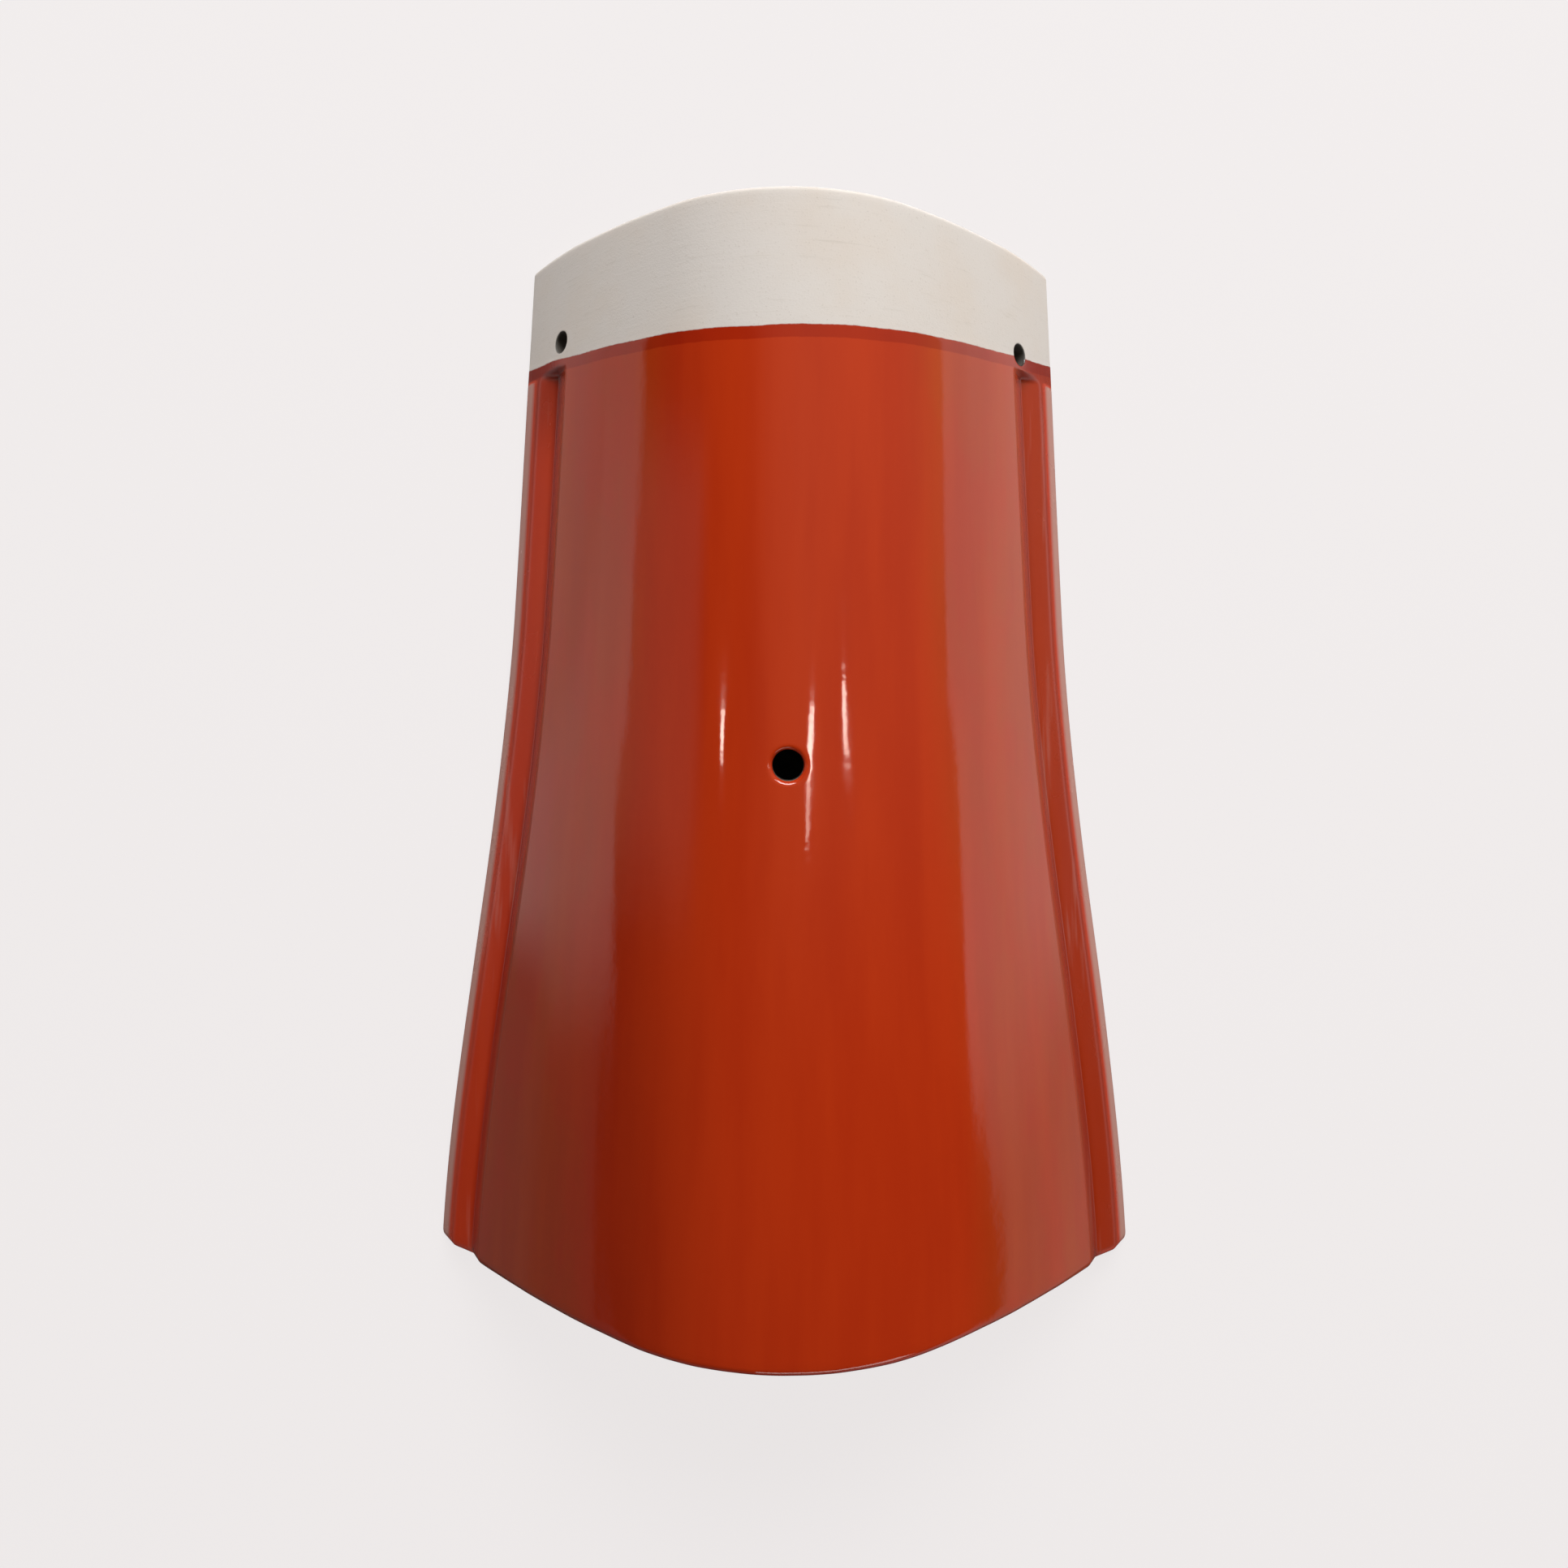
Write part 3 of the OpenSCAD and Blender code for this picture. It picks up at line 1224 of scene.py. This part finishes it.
@dataclass(frozen=True)
class ClayBody:
    """Fired clay that both finishes share: mottle, sand grains and hairline drag marks."""

    cloud_scale: float = 26.0
    cloud_tint: Span = (0.40, 0.72)
    cloud_rough: Span = (0.3, 0.8)
    roughness: Span = (0.72, 0.90)
    sand_scale: float = 1500.0
    sand_grains: Span = (0.62, 0.74)
    sand_color: Color = (0.30, 0.24, 0.19, 1.0)
    sand_height: float = 0.5
    drag_scale: float = 60.0
    drag_run: Triple = (0.6, 12.0, 1.0)
    drag_marks: Span = (0.60, 0.72)
    drag_share: float = 0.22
    drag_color: Color = (0.42, 0.37, 0.32, 1.0)
    drag_height: float = 0.35

    def build(self) -> bpy.types.NodeTree:
        """Make the node group.

        Returns:
            The group, which takes two colours and the grit.
        """
        tree, sheet, given, made = new_group(
            "clay_body",
            (("Pale", "NodeSocketColor"), ("Buff", "NodeSocketColor"), ("Grit", "NodeSocketFloat")),
            (("Color", "NodeSocketColor"), ("Roughness", "NodeSocketFloat"), ("Height", "NodeSocketFloat")),
        )
        place = sheet.place()
        cloud = sheet.noise(place, self.cloud_scale, detail=5.0)
        sand = sheet.noise(place, self.sand_scale, detail=2.0)
        drag = sheet.noise(place, self.drag_scale, detail=4.0, roughness=0.7, stretch=self.drag_run)
        mottle = sheet.remap(cloud, *self.cloud_tint)
        color = sheet.blend(mottle, given.outputs["Pale"], given.outputs["Buff"])
        grains = sheet.product(sheet.remap(sand, *self.sand_grains), given.outputs["Grit"])
        color = sheet.blend(grains, color, self.sand_color)
        marks = sheet.remap(drag, *self.drag_marks, 0.0, self.drag_share)
        sheet.feed(made.inputs["Color"], sheet.blend(marks, color, self.drag_color))
        sheet.feed(made.inputs["Roughness"], sheet.remap(cloud, *self.cloud_rough, *self.roughness))
        sandy = sheet.product(sand, self.sand_height)
        dragged = sheet.product(drag, self.drag_height)
        sheet.feed(made.inputs["Height"], sheet.sum("ADD", sandy, dragged))
        return tree


@dataclass(frozen=True)
class HoleShade:
    """Painted shade that darkens the inside of the holes."""

    share: float = 0.94
    color: Color = (0.030, 0.026, 0.022, 1.0)

    def build(self) -> bpy.types.NodeTree:
        """Make the node group.

        Returns:
            The group, which takes a colour and darkens it.
        """
        tree, sheet, given, made = new_group(
            "bore_shade", (("Color", "NodeSocketColor"),), (("Color", "NodeSocketColor"),),
        )
        hole_shade = sheet.product(sheet.attribute(HOLE_SHADE), self.share)
        sheet.feed(made.inputs["Color"], sheet.blend(hole_shade, given.outputs["Color"], self.color))
        return tree


@dataclass(frozen=True)
class BareClay:
    """Unglazed cream body of the tile."""

    pale: Color = (0.50, 0.43, 0.36, 1.0)
    buff: Color = (0.42, 0.33, 0.25, 1.0)
    grit: float = 0.5
    bump: float = 0.25
    bump_depth: float = 0.0004

    def build(self, clay: bpy.types.NodeTree, hole_shade: bpy.types.NodeTree) -> bpy.types.Material:
        """Make the material.

        Args:
            clay: Group for the fired clay.
            hole_shade: Group that paints shade inside the holes.

        Returns:
            The material.
        """
        material, sheet, shader = new_material("bare_clay")
        body = sheet.group(clay, Pale=self.pale, Buff=self.buff, Grit=self.grit)
        sheet.feed(shader.inputs["Base Color"], sheet.group(hole_shade, Color=body["Color"])["Color"])
        sheet.feed(shader.inputs["Roughness"], body["Roughness"])
        sheet.feed(shader.inputs["Normal"], sheet.bump(self.bump, self.bump_depth, body["Height"]))
        return material


@dataclass(frozen=True)
class RedGlaze:
    """Gloss red glaze of the upper side, which stops at the bare lap band."""

    red: Color = (0.475, 0.033, 0.0040, 1.0)
    deep: Color = (0.43, 0.026, 0.0032, 1.0)
    streak_scale: float = 46.0
    streak_run: Triple = (1.0, 0.10, 1.0)
    streak_tint: Span = (0.36, 0.66)
    # Painted shade: the left of the barrel is darker, more so towards the tail.
    left_shade: Color = (0.60, 0.50, 0.45, 1.0)
    left_shade_x: Span = (-0.010, -0.060)
    left_shade_y: Span = (0.05, -0.13)
    left_shade_share: Span = (0.30, 0.78)
    # Painted reflection: a paler, more orange tint on both flanks, made patchy by a cloud noise.
    flank_reflection: Color = (0.90, 1.55, 1.20, 1.0)
    flank_reflection_share: Span = (0.55, 1.0)
    cloud_scale: float = 38.0
    cloud_run: Triple = (1.0, 0.45, 1.0)
    cloud_range: Span = (0.36, 0.56)
    flank_x: Span = (0.034, 0.056)
    flare_x: float = 0.022
    flare_y: Span = (0.16, -0.18)
    flange_top: Span = (0.023, 0.018)
    # Painted shade: the right-hand flange is darker and more orange.
    right_flange_shade: Color = (0.80, 0.90, 0.60, 1.0)
    right_flange_shade_x: Span = (0.0, 0.06)
    # Painted shade: the left flange is darker near the head end, where the rebate starts.
    rebate_end_shade: Color = (0.70, 0.70, 0.70, 1.0)
    rebate_end_shade_x: Span = (0.0, -0.06)
    rebate_end_shade_y: Span = (0.105, 0.135)
    # Painted light: a brighter red on the flange's arrises, mostly the inner half of the bevel.
    arris_light: Color = (0.56, 0.042, 0.008, 1.0)
    arris_light_range: Span = (0.05, 0.35)
    # Paler glaze on worn arrises: partly real thin glaze, partly a painted reflection on the outer half of
    # the bevel.
    thin_glaze_and_sheen: Color = (0.56, 0.31, 0.27, 1.0)
    worn_and_sheen_arris: Span = (0.40, 1.0)
    worn_and_sheen_share: float = 0.90
    # Painted highlights: faint lighter streaks along the flange.
    sheen_streak_scale: float = 150.0
    sheen_streak_run: Triple = (1.0, 0.07, 1.0)
    sheen_streak_range: Span = (0.58, 0.72)
    sheen_streak_share: float = 0.15
    # Painted shade in the crease: the riser and its foot are darker, fully on the left and less on the
    # right.
    crease_shade: Color = (0.70, 0.48, 0.25, 1.0)
    crease_shade_x: Span = (0.03, -0.03)
    crease_shade_share: Span = (0.4, 1.0)
    band: Color = (0.80, 0.58, 0.56, 1.0)
    band_edge: Span = (0.0040, 0.0044)
    pale: Color = (0.648, 0.603, 0.578, 1.0)
    buff: Color = (0.645, 0.58, 0.535, 1.0)
    grit: float = 0.25
    ior: float = 1.56
    edge_width: float = 0.00022
    fray_scale: float = 420.0
    fray_width: float = 0.0005
    haze_scale: float = 34.0
    haze_cloud: Span = (0.35, 0.75)
    haze: Span = (0.05, 0.09)
    flange_dullness: float = 0.20
    hollow_dullness: float = -0.14
    peel_scale: float = 240.0
    peel_height: float = 0.20
    bump: float = 0.25
    bump_depth: float = 0.0004

    def build(self, clay: bpy.types.NodeTree, hole_shade: bpy.types.NodeTree) -> bpy.types.Material:
        """Make the material.

        Args:
            clay: Group for the fired clay.
            hole_shade: Group that paints shade inside the holes.

        Returns:
            The material.
        """
        material, sheet, shader = new_material("red_glaze")
        shader.inputs["IOR"].default_value = self.ior
        place = sheet.place()
        fray = sheet.sum("SUBTRACT", sheet.noise(place, self.fray_scale), 0.5)
        line = sheet.sum("ADD", sheet.attribute(GLAZE_LINE), sheet.product(fray, self.fray_width))
        glazed = sheet.remap(line, -self.edge_width, self.edge_width)
        flange = sheet.remap(sheet.axes(place)[2], *self.flange_top)
        hollow = sheet.remap(sheet.product(sheet.attribute(ARRIS), -1.0), 0.0, 1.0)
        color = self.barrel_color(sheet, place, flange)
        color = self.flange_color(sheet, place, flange, color)
        color = self.crease_and_band_color(sheet, place, line, hollow, color)
        body = sheet.group(clay, Pale=self.pale, Buff=self.buff, Grit=self.grit)
        whole = sheet.blend(glazed, body["Color"], color)
        sheet.feed(shader.inputs["Base Color"], sheet.group(hole_shade, Color=whole)["Color"])
        cloud = sheet.noise(place, self.haze_scale, detail=4.0)
        haze = sheet.remap(cloud, *self.haze_cloud, *self.haze)
        haze = sheet.sum("ADD", haze, sheet.product(flange, self.flange_dullness))
        haze = sheet.sum("ADD", haze, sheet.product(hollow, self.hollow_dullness))
        sheet.feed(shader.inputs["Roughness"], sheet.mix(glazed, body["Roughness"], haze))
        peel = sheet.product(sheet.noise(place, self.peel_scale, detail=2.0), self.peel_height)
        height = sheet.mix(glazed, body["Height"], peel)
        sheet.feed(shader.inputs["Normal"], sheet.bump(self.bump, self.bump_depth, height))
        return material

    def barrel_color(self, sheet: NodeSheet, place: Socket, flange: Socket) -> Socket:
        """Red with streaks along the tile, painted shade on the left and a painted reflection tint on the
        flanks.

        Args:
            sheet: Sheet of the material.
            place: Coordinates on the object.
            flange: Share of the rebated edges.

        Returns:
            The colour socket.
        """
        x, y, _ = sheet.axes(place)
        barrel = sheet.sum("SUBTRACT", 1.0, flange)
        streak = sheet.noise(place, self.streak_scale, detail=5.0, stretch=self.streak_run)
        color = sheet.blend(sheet.remap(streak, *self.streak_tint), self.deep, self.red)
        # Painted shade on the left of the barrel, growing towards the tail.
        frontward = sheet.remap(y, *self.left_shade_y, *self.left_shade_share)
        painted_left_shade = sheet.product(sheet.remap(x, *self.left_shade_x), frontward, barrel)
        color = sheet.blend(painted_left_shade, color, self.left_shade, "MULTIPLY")
        # Painted reflection tint on the flanks, away from the middle.
        widening = sheet.remap(y, *self.flare_y, 0.0, self.flare_x)
        aside = sheet.sum("SUBTRACT", sheet.sum("ABSOLUTE", x), widening)
        cloud = sheet.noise(place, self.cloud_scale, detail=4.0, stretch=self.cloud_run)
        uneven = sheet.remap(cloud, *self.cloud_range, *self.flank_reflection_share)
        flank_reflection = sheet.product(sheet.remap(aside, *self.flank_x), barrel, uneven)
        return sheet.blend(flank_reflection, color, self.flank_reflection, "MULTIPLY")

    def flange_color(self, sheet: NodeSheet, place: Socket, flange: Socket, color: Socket) -> Socket:
        """Colour of the rebated edges, with painted shade, light, reflection and highlight streaks, and
        worn arrises.

        Args:
            sheet: Sheet of the material.
            place: Coordinates on the object.
            flange: Share of the rebated edges.
            color: Colour of the barrel.

        Returns:
            The colour socket.
        """
        x, y, _ = sheet.axes(place)
        # Painted shade on the right-hand flange.
        painted_right_shade = sheet.product(sheet.remap(x, *self.right_flange_shade_x), flange)
        color = sheet.blend(painted_right_shade, color, self.right_flange_shade, "MULTIPLY")
        # Painted shade on the left flange near the head end of the rebate.
        rebate_end_shade = sheet.product(sheet.remap(y, *self.rebate_end_shade_y), flange, sheet.remap(x, *self.rebate_end_shade_x))
        color = sheet.blend(rebate_end_shade, color, self.rebate_end_shade, "MULTIPLY")
        arris = sheet.attribute(ARRIS)
        # Painted light on the flange's arrises.
        inner = sheet.product(sheet.remap(arris, *self.arris_light_range), flange)
        color = sheet.blend(inner, color, self.arris_light)
        # Worn arrises, and a painted reflection on the outer half of the bevel.
        worn_and_sheen = sheet.remap(arris, *self.worn_and_sheen_arris, 0.0, self.worn_and_sheen_share)
        color = sheet.blend(worn_and_sheen, color, self.thin_glaze_and_sheen)
        # Painted highlights: faint lighter streaks along the flange.
        sheen_streak = sheet.noise(place, self.sheen_streak_scale, stretch=self.sheen_streak_run)
        sheen_streak = sheet.remap(sheen_streak, *self.sheen_streak_range, 0.0, self.sheen_streak_share)
        return sheet.blend(sheet.product(sheen_streak, flange), color, self.thin_glaze_and_sheen)

    def crease_and_band_color(self, sheet: NodeSheet, place: Socket, line: Socket, hollow: Socket,
                     color: Socket) -> Socket:
        """Colour with painted shade in the hollow at the riser's foot, and a darker band along the upper
        edge of the glaze.

        Args:
            sheet: Sheet of the material.
            place: Coordinates on the object.
            line: Distance below the edge of the glaze.
            hollow: Share of the hollow at the foot of the riser.
            color: Colour of the barrel and its edges.

        Returns:
            The colour socket.
        """
        x = sheet.axes(place)[0]
        # Painted shade in the crease at the riser's foot.
        painted_crease_shade = sheet.product(hollow, sheet.remap(x, *self.crease_shade_x, *self.crease_shade_share))
        color = sheet.blend(painted_crease_shade, color, self.crease_shade, "MULTIPLY")
        band = sheet.remap(line, *self.band_edge, 1.0, 0.0)
        return sheet.blend(band, color, self.band, "MULTIPLY")


def new_material(name: str) -> tuple[bpy.types.Material, NodeSheet, bpy.types.Node]:
    """Make a material with a plain Principled shader.

    Args:
        name: Name of the material.

    Returns:
        The material, its sheet and its shader node.
    """
    material = bpy.data.materials.new(name)
    material.use_nodes = True
    shader = next(n for n in material.node_tree.nodes if n.type == "BSDF_PRINCIPLED")
    return material, NodeSheet(material.node_tree), shader


@dataclass(frozen=True)
class SoftBox:
    """Flat studio lamp that faces the tile, with its width level or along the tile."""

    name: str
    bearing: float
    elevation: float
    distance: float
    width: float
    height: float
    power: float
    along_tile: bool = False
    warm: Triple = (1.0, 0.80, 0.70)
    white: Triple = (1.0, 1.0, 1.0)
    aim_height: float = 0.05

    def build(self) -> bpy.types.Object:
        """Place the lamp.

        Returns:
            The lamp.
        """
        light = bpy.data.lights.new(self.name, "AREA")
        light.shape = "RECTANGLE"
        light.size = self.width
        light.size_y = self.height
        light.energy = self.power
        light.color = self.warm if self.along_tile else self.white
        lamp = bpy.data.objects.new(self.name, light)
        a = math.radians(self.bearing)
        e = math.radians(self.elevation)
        out = Vector((math.cos(e) * math.cos(a), math.cos(e) * math.sin(a), math.sin(e)))
        lamp.location = out * self.distance + Vector((0.0, 0.0, self.aim_height))
        level = Vector((0.0, 1.0, 0.0)) if self.along_tile else Vector((0.0, 0.0, 1.0)).cross(out)
        across = out.cross(level).normalized()
        turn = Matrix((across.cross(out), across, out)).transposed()
        lamp.rotation_euler = turn.to_euler()
        bpy.context.scene.collection.objects.link(lamp)
        return lamp


@dataclass(frozen=True)
class Studio:
    """Pale floor, low pale surround and soft lamps."""

    floor_size: float = 12.0
    floor_color: Color = (0.88, 0.85, 0.85, 1.0)
    floor_roughness: float = 0.95
    backdrop_color: Color = (0.88, 0.847, 0.847, 1.0)
    backdrop_share: float = 0.90
    least_across: float = 0.01
    side_blend: Span = (-0.05, 0.05)
    mirrored_left: Span = (0.81, 0.15)
    mirrored_right: Span = (1.08, 0.45)
    left_turn: Span = (-0.02, -0.22)
    right_turn: Span = (0.0, -0.40)
    turn_from: float = -0.05
    head_turn: Span = (0.45, 0.15)
    head_left: Span = (0.74, 1.0)
    near_x: Span = (0.126, 0.158)
    near_level: Span = (0.10, 1.0)
    flare_x: float = 0.034
    flare_y: Span = (0.16, -0.18)
    covered_x: Span = (0.080, 0.096)
    covered_flare: float = 0.8
    covered_y: Span = (0.16, 0.19)
    dark_color: Color = (0.012, 0.012, 0.012, 1.0)
    dark_reach: Span = (0.16, 1.0)
    arch_floor: Triple = (0.085, 0.175, 1.0)
    pale: Color = (0.86, 0.83, 0.83, 1.0)
    black: Color = (0.0, 0.0, 0.0, 1.0)
    haze_head: Color = (0.40, 0.38, 0.27, 1.0)
    haze_tail: Color = (0.05, 0.046, 0.030, 1.0)
    haze_y: Span = (-0.25, 0.40)
    haze_x: Span = (0.04, 0.10)
    haze_share: Span = (0.85, 1.0)
    dim_left: Color = (0.04, 0.037, 0.030, 1.0)
    dim_x: Span = (0.0, -0.50)
    window_color: Color = (0.28, 0.27, 0.23, 1.0)
    window_top: Span = (0.74, 0.52)
    window_near: Span = (-0.10, 0.05)
    window_far: Span = (0.36, 0.24)
    surround_top: Span = (0.122, 0.158)
    rise_left: float = 0.043
    rise_left_turn: Span = (0.05, -0.15)
    rise_right: float = -0.06
    rise_right_turn: Span = (-0.15, -0.45)
    lamps: tuple[SoftBox, ...] = (
        SoftBox("key_lamp", bearing=82.0, elevation=36.0, distance=1.8, width=1.2, height=0.8, power=38.5),
        SoftBox("fill_lamp", bearing=-72.0, elevation=22.0, distance=2.2, width=2.0, height=0.5, power=8.5),
        SoftBox("left_strip", bearing=169.3, elevation=55.1, distance=2.0, width=0.070, height=0.085,
                power=0.38, along_tile=True),
        SoftBox("crest_strip", bearing=26.6, elevation=76.8, distance=2.0, width=0.105, height=0.085,
                power=0.62, along_tile=True),
        SoftBox("crest_strip_low", bearing=13.4, elevation=77.9, distance=2.0, width=0.110, height=0.070,
                power=0.16, along_tile=True),
        SoftBox("right_strip", bearing=12.9, elevation=57.2, distance=2.0, width=0.110, height=0.085,
                power=0.54, along_tile=True),
    )

    def build(self) -> None:
        """Make the floor, the surround and the lamps."""
        self.floor()
        self.surround()
        for lamp in self.lamps:
            lamp.build()
            LOG.info("lamp %s", lamp.name)

    def floor(self) -> bpy.types.Object:
        """Level floor under the tile.

        Returns:
            The floor.
        """
        mesh = bpy.data.meshes.new("floor")
        half = self.floor_size / 2.0
        corners = [(-half, -half, 0.0), (half, -half, 0.0), (half, half, 0.0), (-half, half, 0.0)]
        mesh.from_pydata(corners, [], [(0, 1, 2, 3)])
        mesh.materials.append(self.floor_paint())
        floor = bpy.data.objects.new("floor", mesh)
        bpy.context.scene.collection.objects.link(floor)
        return floor

    def floor_paint(self) -> bpy.types.Material:
        """Pale paint that evens out the light on the floor and keeps the tile's shadow; glossy rays see its
        glow painted darker near the tile and set by direction.

        Returns:
            The material.
        """
        material, sheet, shader = new_material("floor_paint")
        shader.inputs["Roughness"].default_value = self.floor_roughness
        shader.inputs["Specular IOR Level"].default_value = 0.0
        sheet.feed(shader.inputs["Base Color"], self.arch_shade(sheet))
        x, y, _ = sheet.axes(sheet.place())
        across = sheet.sum("ABSOLUTE", x)
        widening = sheet.remap(y, *self.flare_y, 0.0, self.flare_x)
        rays = sheet.add("ShaderNodeLightPath").outputs
        seen = sheet.sum("MAXIMUM", rays["Is Camera Ray"], rays["Is Glossy Ray"])
        seen = sheet.sum("MAXIMUM", seen, rays["Is Transmission Ray"])
        # Painted shade and light in what the glaze mirrors: the floor's glow for glossy rays is lowered
        # near the tile and set by direction, darkest on the left towards the tail.
        turn = self.turn(sheet, x, sheet.sum("SUBTRACT", y, self.turn_from))
        painted_near_shade = sheet.remap(sheet.sum("SUBTRACT", across, widening), *self.near_x, *self.near_level)
        mirrored_glow = sheet.product(self.mirrored_level(sheet, x, turn), painted_near_shade)
        glow = sheet.add("ShaderNodeEmission")
        glow.inputs["Color"].default_value = self.backdrop_color
        sheet.feed(glow.inputs["Strength"], sheet.mix(rays["Is Glossy Ray"], 1.0, mirrored_glow))
        covered = sheet.sum("SUBTRACT", across, sheet.product(widening, self.covered_flare))
        beside = sheet.remap(covered, *self.covered_x)
        beyond = sheet.remap(sheet.sum("ABSOLUTE", y), *self.covered_y)
        clear = sheet.sum("MAXIMUM", beside, beyond)
        both = sheet.add("ShaderNodeMixShader")
        sheet.feed(both.inputs[0], sheet.product(seen, clear, self.backdrop_share))
        sheet.feed(both.inputs[1], shader.outputs[0])
        sheet.feed(both.inputs[2], glow.outputs[0])
        out = next(n for n in material.node_tree.nodes if n.type == "OUTPUT_MATERIAL")
        sheet.feed(out.inputs["Surface"], both.outputs[0])
        return material

    def arch_shade(self, sheet: NodeSheet) -> Socket:
        """Colour of the floor, which falls off into deep shade below the arch.

        Args:
            sheet: Sheet of the floor.

        Returns:
            The colour socket.
        """
        away = sheet.add("ShaderNodeVectorMath", operation="DIVIDE")
        sheet.feed(away.inputs[0], sheet.place())
        away.inputs[1].default_value = self.arch_floor
        reach = sheet.add("ShaderNodeVectorMath", operation="LENGTH")
        sheet.feed(reach.inputs[0], away.outputs["Vector"])
        lit = sheet.remap(reach.outputs["Value"], *self.dark_reach)
        return sheet.blend(lit, self.dark_color, self.floor_color)

    def turn(self, sheet: NodeSheet, x: Socket, y: Socket) -> Socket:
        """Way that a place or a direction lies in, as its y over its distance from the middle.

        Args:
            sheet: Sheet of the floor or the world.
            x: Distance or direction to the right.
            y: Distance or direction ahead.

        Returns:
            The output socket.
        """
        across = sheet.sum("MAXIMUM", sheet.sum("ABSOLUTE", x), self.least_across)
        return sheet.sum("DIVIDE", y, across)

    def by_side(self, sheet: NodeSheet, x: Socket, left: Socket, right: Socket) -> Socket:
        """Value of the left side, blended across the middle into the value of the right side."""
        return sheet.mix(sheet.remap(x, *self.side_blend), left, right)

    def mirrored_level(self, sheet: NodeSheet, x: Socket, turn: Socket) -> Socket:
        """Brightness of the surround as the glaze mirrors it, by the way it lies in.

        Args:
            sheet: Sheet of the floor or the world.
            x: Distance or direction to the right.
            turn: Way it lies in.

        Returns:
            The output socket, 1 for the plain backdrop.
        """
        left = sheet.remap(turn, *self.left_turn, *self.mirrored_left)
        left = sheet.product(left, sheet.remap(turn, *self.head_turn, *self.head_left))
        right = sheet.remap(turn, *self.right_turn, *self.mirrored_right)
        return self.by_side(sheet, x, left, right)

    def surround(self) -> None:
        """World that is pale near the horizon and dim overhead."""
        world = bpy.data.worlds.new("studio")
        world.use_nodes = True
        bpy.context.scene.world = world
        sheet = NodeSheet(world.node_tree)
        x, y, z = sheet.axes(sheet.add("ShaderNodeTexCoord").outputs["Generated"])
        turn = self.turn(sheet, x, y)
        left = sheet.remap(turn, *self.rise_left_turn, 0.0, self.rise_left)
        right = sheet.remap(turn, *self.rise_right_turn, 0.0, self.rise_right)
        height = sheet.sum("SUBTRACT", z, self.by_side(sheet, x, left, right))
        up = sheet.remap(height, *self.surround_top)
        haze = sheet.product(sheet.remap(y, *self.haze_y), sheet.remap(x, *self.haze_x, *self.haze_share))
        overhead = sheet.blend(haze, self.haze_tail, self.haze_head)
        leftward = sheet.remap(x, *self.dim_x)
        overhead = sheet.blend(leftward, overhead, self.dim_left)
        window = sheet.product(leftward, sheet.remap(z, *self.window_top))
        window = sheet.product(window, sheet.remap(y, *self.window_near), sheet.remap(y, *self.window_far))
        overhead = sheet.blend(window, overhead, self.window_color)
        ring = sheet.blend(self.mirrored_level(sheet, x, turn), self.black, self.pale)
        color = sheet.blend(up, ring, overhead)
        rays = sheet.add("ShaderNodeLightPath").outputs
        color = sheet.blend(rays["Is Camera Ray"], color, self.backdrop_color)
        sky = next(n for n in world.node_tree.nodes if n.type == "BACKGROUND")
        sheet.feed(sky.inputs["Color"], color)


@dataclass(frozen=True)
class PhotoCamera:
    """Camera straight above the tile, at close range."""

    place: Triple = (-0.00136, 0.01214, 0.410)
    roll: float = 0.0063
    lens: float = 24.52
    sensor: float = 36.0
    shift_y: float = -0.0366
    clip_start: float = 0.01
    clip_end: float = 50.0

    def build(self) -> bpy.types.Object:
        """Make the camera and give it to the scene.

        Returns:
            The camera.
        """
        data = bpy.data.cameras.new("camera")
        data.lens = self.lens
        data.sensor_width = self.sensor
        data.sensor_fit = "HORIZONTAL"
        data.shift_y = self.shift_y
        data.clip_start = self.clip_start
        data.clip_end = self.clip_end
        camera = bpy.data.objects.new("camera", data)
        camera.location = self.place
        camera.rotation_euler = (0.0, 0.0, self.roll)
        bpy.context.scene.collection.objects.link(camera)
        bpy.context.scene.camera = camera
        return camera


def main() -> None:
    """Build the tile, dress it and set up the studio."""
    logging.basicConfig(level=logging.INFO, format="%(name)s: %(message)s")
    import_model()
    tile = VergeEndTile().build()
    clay = ClayBody().build()
    hole_shade = HoleShade().build()
    tile.data.materials.append(RedGlaze().build(clay, hole_shade))
    tile.data.materials.append(BareClay().build(clay, hole_shade))
    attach(tile, BODY)
    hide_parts(TILE_NODE)
    LOG.info("piece %s stands for %s", tile.name, TILE_NODE)
    Studio().build()
    PhotoCamera().build()
    bpy.context.scene.view_settings.view_transform = "Standard"


if __name__ == "__main__":
    main()
